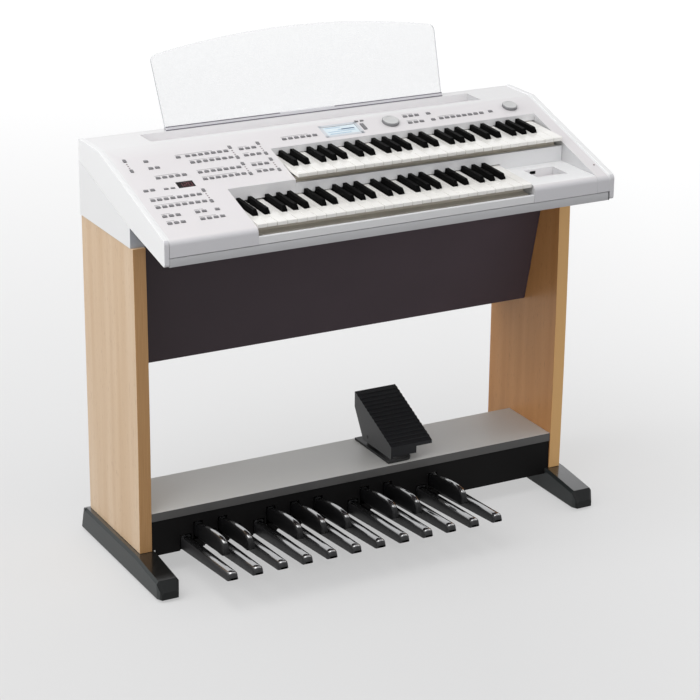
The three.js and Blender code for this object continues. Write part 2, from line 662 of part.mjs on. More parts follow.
// The bottom case: a shell whose floor steps up behind the player's knees.
function lowerRib(index) {
  const front = bandRear + floorPlate.lip + floorPlate.ribSetback + floorPlate.ribPitch * index;
  const rear = front + floorPlate.ribThick;
  const left = lowerManual.left + floorPlate.ribInset;
  const right = lowerManual.left + keyboardWidth - floorPlate.ribInset;
  return prismX([
    [front, seamZ(front) - seat], [rear, seamZ(rear) - seat],
    [rear, frameUnderside(lowerManual, rear) - seat], [front, frameUnderside(lowerManual, front) - seat],
  ], left, right);
}

function bottomCase() {
  const { wall } = shell;
  const rear = caseRear;
  const front = bandRear + seat;
  const tray = prismX([
    [front, bandTop], [front, seamZ(front) - floorPlate.thick],
    [kneeY, shell.seamKnee - floorPlate.thick], [kneeY, shell.seamKnee],
    [front + floorPlate.lip, seamZ(front + floorPlate.lip)], [front + floorPlate.lip, bandTop],
  ], -innerHalf, innerHalf);
  const step = block(-halfWidth, halfWidth, kneeY, kneeY + floorPlate.thick, caseFloor, shell.seamKnee - seat);
  const lip = block(-innerHalf, innerHalf, kneeY, kneeY + floorPlate.thick, caseFloor, shell.seamKnee);
  const floor = block(-halfWidth, halfWidth, kneeY, rear, caseFloor, caseFloor + wall);
  const sideWall = prismX([
    [kneeY, caseFloor], [rear, caseFloor], [rear, seamZ(rear) - seat], [kneeY, shell.seamKnee - seat],
  ], halfWidth - wall, halfWidth);
  const rearLow = block(-halfWidth, halfWidth, rear - wall, rear, caseFloor, seamZ(rear - wall) - seat);
  const rearHigh = block(-innerHalf, innerHalf, rear - wall, rear, caseFloor,
    topCaseBottom(rear - wall) - seat);
  const ribs = [...Array(floorPlate.ribs).keys()].map(lowerRib);
  return joined([tray, step, lip, floor, sideWall, mirroredX(sideWall), rearLow, rearHigh, ...ribs]);
}
place('bottom_case', bottomCase(), paleGrey, consoleCase);

const grooveY = caseFront + band.crown + band.grooveDepth;
place('front_band', prismX([
  [bandRear, shell.seamFront], [caseFront + band.crown, shell.seamFront],
  [caseFront, shell.seamFront + band.height / 2], [caseFront + band.crown, bandTop - band.groove],
  [grooveY, bandTop - band.groove], [grooveY, bandTop], [bandRear, bandTop],
], -innerHalf, innerHalf), silver, consoleCase);

const slipFront = caseFront + slip.inset;
const slipTop = lowerManual.top - slip.below;
place('key_slip', prismX([
  [slipFront, bandTop + seat], [slipFront, slipTop, slip.radius],
  [slipFront + slip.thick, slipTop, slip.radius], [slipFront + slip.thick, bandTop + seat],
], lowerManual.left - well.clearance + seat, lowerManual.left + keyboardWidth + well.clearance - seat), silver,
consoleCase);

// The end arms carry the rim that frames the sloping panel.
function endArm() {
  return prismX([
    [caseFront, shell.seamFront, shell.toeRadius], [kneeY, shell.seamKnee],
    [caseRear, shell.seamRear], [caseRear, shell.stripZ], [creaseY, shell.stripZ],
    [caseFront, slantZ(caseFront), shell.noseRadius],
  ], innerHalf + seat, halfWidth);
}
place('right_arm', endArm(), white, consoleCase);
place('left_arm', mirroredX(endArm()), white, consoleCase);

// The sloping top case, with openings for both manuals, the trough and every control.
const leftWellEdge = lowerManual.left - well.clearance;
const midWellEdge = upperManual.left - well.clearance;
const rightWellEdge = fasciaEnd + seat;

function casePlan(inset) {
  const front = caseFront;
  const rear = caseRear;
  return [
    [-innerHalf + inset, front + inset], [leftWellEdge - inset, front + inset],
    [leftWellEdge - inset, fasciaY + inset], [midWellEdge - inset, fasciaY + inset],
    [midWellEdge - inset, wellRear + inset], [rightWellEdge + inset, wellRear + inset],
    [rightWellEdge + inset, front + inset], [innerHalf - inset, front + inset],
    [innerHalf - inset, rear - inset], [-innerHalf + inset, rear - inset],
  ];
}

function caseSide(lowered, opened) {
  const front = caseFront;
  const rear = caseRear;
  const top = panelZ - lowered;
  return [
    [front, topCaseBottom(front) - opened], [kneeY, topCaseBottom(kneeY) - opened],
    [rear, topCaseBottom(rear) - opened], [rear, top], [creaseY, top],
    [front, slantZ(front) - shell.rimRise - lowered, lowered ? 0 : shell.noseRadius],
  ];
}

function keyClearances() {
  const low = shell.seamFront;
  const underMid = keyTop(lowerManual, lowerManual.front + keys.tailEnd) + well.keyRoom;
  const underRear = keyTop(upperManual, wellRear) + well.keyRoom;
  const frameRear = lowerManual.front + keyFrame.end + well.clearance;
  return [
    block(leftWellEdge, midWellEdge + shell.wall, fasciaY - overrun, frameRear, low, underMid),
    block(midWellEdge, rightWellEdge, wellRear - overrun, wellRear + overrun, low, underRear),
  ];
}

const troughFloor = panelZ - trough.depth;
const troughFront = caseRear - trough.front;
const troughRear = caseRear - trough.rear;
const restFront = caseRear - rest.setback;
function troughOutline(grown) {
  return [
    [troughFront - grown, panelZ + overrun], [troughFront - grown, panelZ - grown],
    [troughRear + grown, troughFloor - grown], [troughRear + grown, panelZ + overrun],
  ];
}

const slotFront = restFront + rest.tongueInset - rest.slotGap;
const slotRear = slotFront + rest.tongue + 2 * rest.slotGap;

// Places on the panel, from the columns and rows of its grid.
const column = (2 * innerHalf) / grid.columnCount;
const row = slopeLength / grid.rowCount;
function across(share) {
  return grid.left - innerHalf + column * share;
}
function upSlope(share) {
  return row * share;
}

// The thin caps are shorter up the slope; each level control is a pair of tall keys.
function capSizes() {
  const caps = [];
  for (const line of buttonRowShares) {
    const depth = line.thin ? button.depth * thinShare : button.depth;
    for (let index = 0; index < line.count; index += 1) {
      caps.push({ x: across(line.x + index), s: upSlope(line.s), width: button.width, depth });
    }
  }
  for (const pair of levelKeyShares) {
    caps.push({ x: across(pair.x), s: upSlope(pair.low), width: button.level, depth: button.width });
    caps.push({ x: across(pair.x), s: upSlope(pair.high), width: button.level, depth: button.width });
  }
  return caps;
}

function upperCapSizes() {
  const caps = [];
  for (const line of upperRowShares) {
    for (let index = 0; index < line.count; index += 1) {
      caps.push({ x: across(line.x + index), s: upSlope(line.s), width: button.width, depth: button.depth });
    }
  }
  const { x, low, high, keyRow, spread } = pagerShares;
  for (const side of [-1, 1]) {
    caps.push({ x: across(x + (side * spread) / 2), s: upSlope(keyRow), width: pagerWidth,
      depth: button.depth * thinShare });
  }
  caps.push({ x: across(x), s: upSlope((low + high) / 2), width: pagerWidth, depth: row * (high - low) });
  return caps;
}

function capBlock(cap, grown, low, high) {
  return block(cap.x - cap.width / 2 - grown, cap.x + cap.width / 2 + grown,
    cap.s - cap.depth / 2 - grown, cap.s + cap.depth / 2 + grown, low, high);
}

function windowEdges(shares) {
  return {
    left: across(shares.left), right: across(shares.right),
    low: upSlope(shares.low), high: upSlope(shares.high),
  };
}
const lcd = windowEdges(lcdShares);
const led = windowEdges(ledShares);

function dialPlace(knob) {
  return [across(knob.columnShare), upSlope(knob.rowShare)];
}

function panelHoles() {
  const tools = [...capSizes(), ...upperCapSizes()].map((cap) => capBlock(cap, button.gap, -overrun, overrun));
  for (const edges of [lcd, led]) {
    tools.push(block(edges.left - seat, edges.right + seat, edges.low - seat, edges.high + seat,
      -overrun, overrun));
  }
  const shaftHole = [[0, -overrun], [dial.shaft + seat, -overrun], [dial.shaft + seat, overrun], [0, overrun]];
  for (const knob of [dataDial, tempoDial]) {
    tools.push(turned(shaftHole, ...dialPlace(knob), 0, glide.segments));
  }
  return moved(joined(tools), panelMatrix);
}

function controlPanel() {
  const low = shell.seamFront;
  const high = shell.stripZ;
  const outer = prismZ(casePlan(0), low, high)
    .intersect(prismX(caseSide(0, 0), -innerHalf, innerHalf));
  const cavity = prismZ(casePlan(shell.wall), low - overrun, high)
    .intersect(prismX(caseSide(shell.wall, overrun), -innerHalf, innerHalf));
  const troughPan = prismX(troughOutline(shell.wall), -troughHalf - shell.wall, troughHalf + shell.wall);
  const slotBlock = block(-restHalf - rest.slotWall, restHalf + rest.slotWall, troughRear,
    slotRear + rest.slotWall, panelZ - rest.slotDepth - rest.slotWall, panelZ);
  const housing = cut(outer, [cut(cavity, [joined([troughPan, slotBlock])]), ...keyClearances(), panelHoles()]);
  const troughVoid = prismX(troughOutline(0), -troughHalf, troughHalf);
  const slot = block(-restHalf - rest.slotGap, restHalf + rest.slotGap, slotFront, slotRear,
    panelZ - rest.slotDepth - seat, panelZ + overrun);
  return cut(housing, [troughVoid, slot]);
}
place('control_panel', controlPanel(), white, consoleCase);

// Button caps stand on one soft mat for each side and move down together on it.
function buttonSet(caps, matSolid, windows) {
  const low = -shell.wall - seat - button.sheet;
  const solids = caps.map((cap) => capBlock(cap, 0, low + button.sheet / 2, button.rise));
  return joined([cut(matSolid(low), windows), ...solids]);
}

function windowOver(edges) {
  const margin = screen.flange + seat + button.gap;
  return block(edges.left - margin, edges.right + margin, edges.low - margin, edges.high + margin,
    -shell.wall * 2 - button.sheet, 0);
}

const panelFrame = new THREE.Group();
panelFrame.position.set(0, slantY, slant.z - shell.rimRise);
panelFrame.rotation.x = slopeAngle;
consoleCase.add(panelFrame);

const [matLeft, matRight] = matShares.leftX.map(across);
const [matLow, matStep, matHigh] = matShares.leftS.map(upSlope);
const matNarrow = across(matShares.leftNarrow);
place('left_button_set', buttonSet(capSizes(), (low) => prismZ([
  [matLeft, matLow], [matNarrow, matLow], [matNarrow, matStep], [matRight, matStep], [matRight, matHigh],
  [matLeft, matHigh],
], low, low + button.sheet), [windowOver(led)]), keyGrey, panelFrame);

// The data dial turns over a notch in the upper mat, which is a little wider than the dial.
const [dataX, dataS] = dialPlace(dataDial);
const shaftRoom = dial.shaft + dial.room;
const notchHalf = dataDial.radius + dial.room;
const [upperLow, upperHigh] = matShares.upperS.map(upSlope);
const shaftNotch = block(dataX - notchHalf, dataX + notchHalf, upperLow - overrun, dataS + shaftRoom,
  -shell.wall * 2 - button.sheet, 0);
place('upper_button_set', buttonSet(upperCapSizes(), (low) => block(...matShares.upperX.map(across), upperLow,
  upperHigh, low, low + button.sheet), [windowOver(lcd), shaftNotch]), keyGrey, panelFrame);

function displaySolid(edges) {
  const flangeTop = -shell.wall - seat;
  const { left, right, low, high } = edges;
  const { flange, depth, sunk } = screen;
  return joined([
    block(left, right, low, high, -depth, -sunk),
    block(left - flange, right + flange, low - flange, high + flange, -depth, flangeTop),
  ]);
}
place('lcd_display', displaySolid(lcd), screenBlue, panelFrame);
place('led_display', displaySolid(led), displayRed, panelFrame);

function dialSolid(knob) {
  const hub = knob.radius * dial.hubShare;
  return turned([
    [0, -dial.shaftLength], [dial.shaft, -dial.shaftLength], [dial.shaft, seat], [knob.radius, seat],
    [knob.radius, dial.height - dial.edge], [knob.radius - dial.edge, dial.height], [hub, dial.height],
    [hub - dial.dish, dial.height - dial.dish], [0, dial.height - dial.dish],
  ], 0, 0, 0, dial.segments);
}
place('data_dial', dialSolid(dataDial), silver, panelFrame).position.set(dataX, dataS, 0);
place('tempo_dial', dialSolid(tempoDial), silver, panelFrame).position.set(...dialPlace(tempoDial), 0);

// The fascia hangs between the manuals and drops behind the right cheek block.
const fasciaRear = fasciaY + fascia.thick;
const overKeys = keyTop(lowerManual, fasciaY) + well.keyRoom;
const cheekLeft = lowerManual.left + keyboardWidth + well.clearance;
const fasciaLeft = midWellEdge + seat;
place('manual_fascia', joined([
  prismY([
    [fasciaLeft, overKeys], [fasciaLeft, fasciaTop], [fasciaEnd, fasciaTop],
    [fasciaEnd, fasciaBottom], [cheekLeft, fasciaBottom], [cheekLeft, overKeys],
  ], fasciaY, fasciaRear),
  block(fasciaLeft + fascia.thick, fasciaEnd - fascia.thick, fasciaY + fascia.thick / 2,
    fasciaY + fascia.flange, fasciaTop - fascia.thick, fasciaTop - seat),
]), paleGrey, consoleCase);

const cheekTop = lowerManual.top - cheek.below;
const recessLeft = cheekLeft + cheek.recessInset;
const recessFront = caseFront + cheek.recessSetback;
const recessRear = recessFront + cheek.recessLength;
const portX = recessLeft + port.fromRecess;
const portZ = cheekTop - port.below;

function portBlock(grown, y0, y1) {
  return block(portX - port.width / 2 - grown, portX + port.width / 2 + grown, y0, y1,
    portZ - port.height / 2 - grown, portZ + port.height / 2 + grown);
}

function rightCheek() {
  const rear = fasciaY - seat;
  const hull = prismX([
    [caseFront, bandTop + seat], [caseFront, cheekTop, shell.noseRadius], [rear, cheekTop],
    [rear, topCaseBottom(rear)], [bandRear, bandTop + seat],
  ], cheekLeft, fasciaEnd);
  const recess = prismX([
    [recessFront, cheekTop], [recessRear, cheekTop - cheek.recessDepth],
    [recessRear, cheekTop + overrun], [recessFront, cheekTop + overrun],
  ], recessLeft, recessLeft + cheek.recessWidth);
  const socketHole = portBlock(seat, recessRear - overrun, recessRear + port.depth + seat);
  const rim = portBlock(port.rim, recessRear - port.rimProud, recessRear + port.rim);
  return cut(joined([cut(hull, [recess]), rim]), [socketHole]);
}
place('right_cheek', rightCheek(), white, consoleCase);

function usbPort() {
  const outer = portBlock(0, recessRear, recessRear + port.depth);
  const mouth = portBlock(-port.wall, recessRear - overrun, recessRear + port.depth - port.wall);
  return cut(outer, [mouth]);
}
place('usb_port', usbPort(), ebony, consoleCase);

// The manuals. Each is a frame with three combs of keys whose tails rest on one ledge.
function octaveSlot(index) {
  const turn = Math.floor(index / octave.whites);
  const step = index % octave.whites;
  const low = step < octave.lowWhites;
  const whites = low ? octave.lowWhites : octave.highWhites;
  const slots = low ? octave.lowSlots : octave.highSlots;
  const start = (turn * octave.whites + (low ? 0 : octave.lowWhites)) * keys.pitch;
  return { start, width: (whites * keys.pitch) / slots, step: low ? step : step - octave.lowWhites };
}

function railFront(comb) {
  return keys.firstRail + keys.railPitch * comb;
}

// The side outline of a key's tail, which lies on the frame's ledge, with the post down to its comb's rail.
function tailSolid(x0, x1, front, comb) {
  const rail = railFront(comb);
  const postLow = -keys.thick - keys.railGap - keys.gap;
  return prismX([
    [front, 0], [keys.tailEnd, 0], [keys.tailEnd, -keys.thick], [rail + keys.rail, -keys.thick],
    [rail + keys.rail, postLow], [rail, postLow], [rail, -keys.thick], [front, -keys.thick],
  ], x0, x1);
}

function whiteKey(index, comb) {
  const half = keys.gap / 2;
  const x0 = index * keys.pitch + half;
  const x1 = (index + 1) * keys.pitch - half;
  const slot = octaveSlot(index);
  const last = index === keys.whites - 1;
  const tail0 = last ? x0 : slot.start + 2 * slot.step * slot.width + half;
  const tail1 = last ? x1 : slot.start + (2 * slot.step + 1) * slot.width - half;
  const head = prismX([
    [0, -keys.edge], [keys.edge, 0], [keys.head, 0], [keys.head, -keys.thick], [0, -keys.lip],
  ], x0, x1);
  return joined([head, tailSolid(tail0, tail1, keys.head - keys.gap, comb)]);
}

function sharpKey(centre, rear, comb) {
  const front = keys.head + keys.gap;
  const ring = (y, high) => {
    const top = THREE.MathUtils.lerp(keys.sharpWidth, keys.sharpTop, high / keys.sharpHeight) / 2;
    return [
      new THREE.Vector3(centre - keys.sharpWidth / 2, y, -keys.thick),
      new THREE.Vector3(centre + keys.sharpWidth / 2, y, -keys.thick),
      new THREE.Vector3(centre + top, y, high),
      new THREE.Vector3(centre - top, y, high),
    ];
  };
  const top = loft([
    ring(front, keys.sharpNose), ring(front + keys.sharpSlope, keys.sharpHeight), ring(rear, keys.sharpHeight),
  ]);
  const half = keys.sharpTop / 2;
  return joined([top, tailSolid(centre - half, centre + half, rear - keys.sharpSlope, comb)]);
}

function sharpCentres() {
  const centres = [];
  for (let index = 0; index < keys.whites - 1; index += 1) {
    const slot = octaveSlot(index);
    const step = index % octave.whites;
    if (step !== octave.lowWhites - 1 && step !== octave.whites - 1) {
      centres.push(slot.start + (2 * slot.step + octave.sharpShare) * slot.width);
    }
  }
  return centres;
}

function comb(solids, order) {
  const margin = keys.pitch / 2;
  const rail = block(margin, keyboardWidth - margin, railFront(order), railFront(order) + keys.rail,
    -keys.thick - keys.railGap - keys.railThick, -keys.thick - keys.railGap);
  return joined([rail, ...solids]);
}

function keyFrameSolid() {
  const floor = -keyFrame.drop;
  const plate = block(0, keyboardWidth, frameStart, keyFrame.end, floor - keyFrame.thick, floor);
  const ledge = block(0, keyboardWidth, keyFrame.end - keyFrame.ledge, keyFrame.end, floor - seat,
    -keys.thick - seat);
  const stop = block(0, keyboardWidth, keyFrame.stopAt, keyFrame.stopAt + keyFrame.stopWidth, floor - seat,
    -keyFrame.stopDrop);
  const windows = [];
  for (let index = 0; index < keyFrame.windows; index += 1) {
    const middle = (keyboardWidth * (2 * index + 1)) / (2 * keyFrame.windows);
    windows.push(block(middle - keyFrame.window / 2, middle + keyFrame.window / 2, keyFrame.windowFront,
      keyFrame.windowRear, floor - keyFrame.thick - overrun, floor + overrun));
  }
  return joined([cut(plate, windows), ledge, stop]);
}

// The upper frame stands on three feet on the floor of the bottom case.
function upperFeet() {
  const low = caseFloor + shell.wall + seat;
  const { footThick, flange, flangeThick, feet, thick } = keyFrame;
  const footFront = upperManual.front + keyFrame.footFront;
  const footRear = upperManual.front + keyFrame.footRear;
  const solids = [];
  for (let index = 0; index < feet; index += 1) {
    const x0 = upperManual.left + ((keyboardWidth - flange) * index) / (feet - 1);
    solids.push(prismX([
      [footFront, low], [footRear, low], [footRear, frameUnderside(upperManual, footRear) + thick / 2],
      [footFront, frameUnderside(upperManual, footFront) + thick / 2],
    ], x0, x0 + footThick));
    solids.push(block(x0, x0 + flange, footFront, footRear, low, low + flangeThick));
  }
  return solids;
}

function manualMatrix(manual) {
  return new THREE.Matrix4().makeRotationX(manualTilt).setPosition(manual.left, manual.front, manual.top);
}

function buildManual(level, manual, sharpRear, feet) {
  const group = new THREE.Group();
  group.position.set(manual.left, manual.front, manual.top);
  group.rotation.x = manualTilt;
  consoleCase.add(group);
  const order = [...Array(keys.whites).keys()];
  const inFirst = (index) => octave.firstComb.includes(index % octave.whites);
  const first = order.filter(inFirst).map((index) => whiteKey(index, 0));
  const second = order.filter((index) => !inFirst(index)).map((index) => whiteKey(index, 1));
  const third = sharpCentres().map((centre) => sharpKey(centre, sharpRear, 2));
  place(`${level}_c_e_g_b_keys`, comb(first, 0), ivory, group);
  place(`${level}_d_f_a_keys`, comb(second, 1), ivory, group);
  place(`${level}_sharp_keys`, comb(third, 2), ebony, group);
  const frameSolid = joined([moved(keyFrameSolid(), manualMatrix(manual)), ...feet]);
  place(`${level}_key_frame`, frameSolid, steel, consoleCase);
}
buildManual('lower', lowerManual, fasciaY - lowerManual.front - well.keyRoom, []);
buildManual('upper', upperManual, wellRear - upperManual.front - well.keyRoom, upperFeet());

// The music rest leans back; its rail has a tongue that drops into the slot behind the trough.
const restLow = panelZ + seat;
function leaning(up, back) {
  return [
    restFront + up * Math.sin(restLean) + back * Math.cos(restLean),
    restLow + up * Math.cos(restLean) - back * Math.sin(restLean),
  ];
}

function restRail() {
  const [topRearY, topRearZ] = leaning(rest.rail, rest.railThick);
  const rearY = topRearY - Math.tan(restLean) * (topRearZ - restLow);
  const bodyOutline = [[restFront, restLow], leaning(rest.rail, 0), [topRearY, topRearZ], [rearY, restLow]];
  const tongueFront = restFront + rest.tongueInset;
  const rail = prismX(bodyOutline, -restHalf, restHalf);
  const tongue = block(-restHalf, restHalf, tongueFront, tongueFront + rest.tongue,
    panelZ - rest.slotDepth, restLow + seat);
  const groove = prismX([
    leaning(rest.rail - rest.groove, rest.railWall), leaning(rest.rail + overrun, rest.railWall),
    leaning(rest.rail + overrun, rest.railWall + rest.thick + 2 * seat),
    leaning(rest.rail - rest.groove, rest.railWall + rest.thick + 2 * seat),
  ], -restHalf - overrun, restHalf + overrun);
  return cut(joined([rail, tongue]), [groove]);
}
place('music_rest_foot', restRail(), paleGrey, consoleCase);

function archHeight(x) {
  return rest.peak - rest.archRadius + Math.sqrt(rest.archRadius ** 2 - x ** 2);
}

function restPlate() {
  const low = rest.rail - rest.groove + seat;
  const arch = [];
  for (let step = 1; step < rest.archSteps; step += 1) {
    const x = restTopHalf * (1 - (2 * step) / rest.archSteps);
    arch.push([x, archHeight(x)]);
  }
  const corner = archHeight(restTopHalf);
  const shape = new THREE.Shape(outline([
    [-restHalf, low], [restHalf, low], [restTopHalf, corner, rest.cornerRadius], ...arch,
    [-restTopHalf, corner, rest.cornerRadius],
  ]));
  const geometry = new THREE.ExtrudeGeometry(shape, { depth: rest.thick, bevelEnabled: false, steps: 1 });
  const [y, z] = leaning(0, rest.railWall + seat + rest.thick);
  geometry.rotateX(Math.PI / 2 - restLean);
  geometry.translate(0, y, z);
  return toSolid(geometry);
}
place('music_rest', restPlate(), acrylic, consoleCase);

// The circuit board and the power supply stand on the floor of the bottom case.
const deck = caseFloor + shell.wall + seat;
function mainBoard() {
  const { width, depth, thick, post, postHigh, inset } = board;
  const x = board.fromLeft - innerHalf;
  const y = caseRear - board.fromRear;
  const low = deck + postHigh;
  const plate = block(x - width / 2, x + width / 2, y - depth / 2, y + depth / 2, low, low + thick);
  const postProfile = [[0, 0], [post, 0], [post, postHigh + seat], [0, postHigh + seat]];
  const posts = [];
  for (const side of [-1, 1]) {
    for (const end of [-1, 1]) {
      posts.push(turned(postProfile, x + side * (width / 2 - inset), y + end * (depth / 2 - inset), deck,
        pedal.segments));
    }
  }
  const parts = [];
  const reach = chips.width / 2;
  for (let index = 0; index < chips.count; index += 1) {
    const middle = x + chips.spacing * (index - (chips.count - 1) / 2);
    parts.push(block(middle - reach, middle + reach, y - reach, y + reach,
      low + thick / 2, low + thick + chips.high));
  }
  parts.push(block(x - width / 2 + inset, x + width / 2 - inset, y + depth / 2 - inset, y + depth / 2,
    low + thick / 2, low + thick + chips.connector));
  return joined([plate, ...posts, ...parts]);
}
place('main_board', mainBoard(), circuit, consoleCase);

function powerSupply() {
  const { width, depth, high, vent, vents, ventPitch, ventSide, ventDeep, tab, tabThick } = supply;
  const x = innerHalf - supply.fromRight;
  const y = caseRear - supply.fromRear;
  const can = block(x - width / 2, x + width / 2, y - depth / 2, y + depth / 2, deck, deck + high);
  const tabs = block(x - width / 2 - tab, x + width / 2 + tab, y - tab, y + tab, deck, deck + tabThick);
  const slots = [];
  for (let index = 0; index < vents; index += 1) {
    const middle = x + ventPitch * (index - (vents - 1) / 2);
    slots.push(block(middle - vent / 2, middle + vent / 2, y - depth / 2 + ventSide, y + depth / 2 - ventSide,
      deck + high - ventDeep, deck + high + overrun));
  }
  return cut(joined([can, tabs]), slots);
}
place('power_supply', powerSupply(), steel, consoleCase);

// The origin lies on the floor, under the middle of the whole instrument.
const extent = new THREE.Box3().setFromObject(body);
body.position.y = -(extent.min.y + extent.max.y) / 2;

export default organ;
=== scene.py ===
# %% [markdown]
# # An electronic organ, dressed for a studio picture
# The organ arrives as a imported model: sixty plain solids, each on a named body that can move.
# This lesson keeps every solid where it is and gives it what a camera notices, which is
# rounded edges, real finishes and small fittings. Everything is in metres.

# %% Load the model
import json
import math
import random

import bmesh
import bpy
from mathutils import Matrix, Vector

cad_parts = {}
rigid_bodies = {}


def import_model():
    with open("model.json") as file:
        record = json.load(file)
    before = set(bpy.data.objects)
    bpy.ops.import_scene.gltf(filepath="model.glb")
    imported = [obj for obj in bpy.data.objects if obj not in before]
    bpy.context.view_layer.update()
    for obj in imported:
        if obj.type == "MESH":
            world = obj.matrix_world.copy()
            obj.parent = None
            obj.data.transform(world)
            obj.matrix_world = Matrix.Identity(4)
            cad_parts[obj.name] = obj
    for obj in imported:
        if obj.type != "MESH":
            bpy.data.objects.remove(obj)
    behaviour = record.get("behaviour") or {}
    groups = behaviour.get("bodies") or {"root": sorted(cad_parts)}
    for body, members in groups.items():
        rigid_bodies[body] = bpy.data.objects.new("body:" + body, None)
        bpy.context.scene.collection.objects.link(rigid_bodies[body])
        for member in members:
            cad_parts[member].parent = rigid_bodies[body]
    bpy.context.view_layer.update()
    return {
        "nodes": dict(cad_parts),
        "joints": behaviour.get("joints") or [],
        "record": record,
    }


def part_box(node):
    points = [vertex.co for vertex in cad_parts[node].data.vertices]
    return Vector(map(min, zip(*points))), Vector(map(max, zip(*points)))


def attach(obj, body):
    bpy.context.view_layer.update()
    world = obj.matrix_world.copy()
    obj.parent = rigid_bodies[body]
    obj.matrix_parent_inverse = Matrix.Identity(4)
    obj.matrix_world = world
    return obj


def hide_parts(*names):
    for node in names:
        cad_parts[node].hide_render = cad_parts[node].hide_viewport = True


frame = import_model()
nodes = frame["nodes"]
record = frame["record"]
scene = bpy.context.scene
body_of_node = {node: body for body, held in record["behaviour"]["bodies"].items() for node in held}
slot_of_node = {part["node"]: part["material_slot"] for part in record["subparts"]}

# %% Put a thing in the scene
def placed(name, data):
    thing = bpy.data.objects.new(name, data)
    scene.collection.objects.link(thing)
    return thing


# %% [markdown]
# ## The camera
# The photograph was taken from the left of the player, from above the music rest, with a long
# lens. The place and the angles below were solved from the keyboards, whose size is known.
# A camera looks along its own -Z axis, so its turn is built from the direction of view.

# %% The camera
camera_place = Vector((-2.4616, -4.5565, 2.3613))
camera_heading = math.radians(28.365)
camera_tilt = math.radians(20.364)
camera_roll = math.radians(0.544)
lens_length = 123.63

camera = placed("camera", bpy.data.cameras.new("camera"))
scene.camera = camera
camera.data.sensor_width = 36
camera.data.lens = lens_length
camera.data.clip_end = 60
camera.rotation_mode = "QUATERNION"
camera.location = camera_place
aim = Matrix.Rotation(-camera_heading, 3, "Z") @ Matrix.Rotation(math.pi / 2 - camera_tilt, 3, "X")
camera.rotation_quaternion = (aim @ Matrix.Rotation(camera_roll, 3, "Z")).to_quaternion()
print("lens", lens_length, "mm")

# %% [markdown]
# ## Trees written as sums
# A finish is a tree of nodes, and so is a repeated shape. Placing nodes one by one is hard to
# read, so a small class wraps a socket and lets Python's own signs add the Math nodes. Any other
# node comes from one method, which takes its type, its settings and what goes into its sockets.

# %% A socket that can be added and multiplied
class Amount:
    def __init__(self, tree, socket):
        self.tree, self.socket = tree, socket

    def maths(self, operation, *terms):
        return self.tree.node("ShaderNodeMath", {"operation": operation}, dict(enumerate(terms)))

    def __add__(self, other):
        return self.maths("ADD", self, other)

    def __mul__(self, other):
        return self.maths("MULTIPLY", self, other)

    def __gt__(self, other):
        return self.maths("GREATER_THAN", self, other)

    def __lt__(self, other):
        return self.maths("LESS_THAN", self, other)

    __radd__ = __add__
    __rmul__ = __mul__


# %% A tree that makes its own nodes
class Tree:
    def __init__(self, tree):
        self.tree = tree

    def feed(self, socket, value):
        if isinstance(value, Amount):
            self.tree.links.new(value.socket, socket)
        else:
            socket.default_value = value

    def node(self, kind, settings=None, inputs=None, output=0):
        made = self.tree.nodes.new(kind)
        for name, value in (settings or {}).items():
            if name == "stops":
                ramp = made.color_ramp.elements
                ramp[0].position, ramp[0].color = value[0]
                ramp[1].position, ramp[1].color = value[-1]
                for place, colour in value[1:-1]:
                    ramp.new(place).color = colour
            else:
                setattr(made, name, value)
        for key, value in (inputs or {}).items():
            ids = {socket.identifier: socket for socket in made.inputs}
            self.feed(ids[key] if key in ids else made.inputs[key], value)
        return Amount(self, made.outputs[output])

    def mixed(self, share, low, high, blend="MIX"):
        return self.node("ShaderNodeMix", {"data_type": "RGBA", "blend_type": blend},
                         {"Factor_Float": share, "A_Color": low, "B_Color": high}, output=2)

    def spread(self, value, low, high, to_low=0.0, to_high=1.0):
        return self.node("ShaderNodeMapRange", None, {"Value": value, "From Min": low, "From Max": high,
                                                      "To Min": to_low, "To Max": to_high})

    def vector(self, operation, *terms, output="Vector"):
        return self.node("ShaderNodeVectorMath", {"operation": operation}, dict(enumerate(terms)), output)

    def part(self, vector, axis):
        return self.node("ShaderNodeSeparateXYZ", None, {0: vector}, output=axis)

    def facing(self, axis):
        return self.part(self.node("ShaderNodeTexCoord", output="Normal"), axis)


# %% [markdown]
# ## The studio
# The paper floor runs far behind the organ, so no horizon shows. It is a little greyer towards
# the camera and fades to white behind, as in the photograph. The lamp on the left is large and
# high, which keeps every shadow soft, and the world fills in the rest. The paper is a middle
# grey that glows a little for the camera alone, so the organ's shadow stays on it but stays
# light. Gloss mirrors a whiter world than the one that lights the organ, as in a white room.

# %% Colours as they look on a screen
def srgb(red, green, blue):
    return tuple(((c / 255 + 0.055) / 1.055) ** 2.4 if c > 10 else c / 255 / 12.92
                 for c in (red, green, blue))


def solid(colour):
    return (*colour, 1)


def tone(red, green, blue):
    return solid(srgb(red, green, blue))


def grey(level):
    return (level, level, level, 1)


def shade(colour, share):
    return solid(tuple(channel * share for channel in colour))


# %% The floor
floor_half = 40.0
floor_paper = bpy.data.materials.new("studio_paper")
floor_paper.use_nodes = True
paper = Tree(floor_paper.node_tree)
paper_shader = floor_paper.node_tree.nodes["Principled BSDF"]
paper_place = paper.node("ShaderNodeTexCoord", output="Object")
away_axis = (math.sin(camera_heading), math.cos(camera_heading), 0)
aside_axis = (math.cos(camera_heading), -math.sin(camera_heading), 0)
away = paper.vector("DOT_PRODUCT", paper_place, away_axis, output="Value")
aside = paper.vector("DOT_PRODUCT", paper_place, aside_axis, output="Value")
reach = paper.vector("LENGTH", paper_place, output="Value")
far_share = paper.spread(away, -1.0, 6.0)
paper_stops = [(0.0, grey(0.32)), (1.0, grey(0.3))]
lift_levels = ((0.0, 0.42), (0.16, 0.46), (0.3, 0.54), (0.5, 0.66), (1.0, 0.95))
lift_stops = [(place, grey(level)) for place, level in lift_levels]
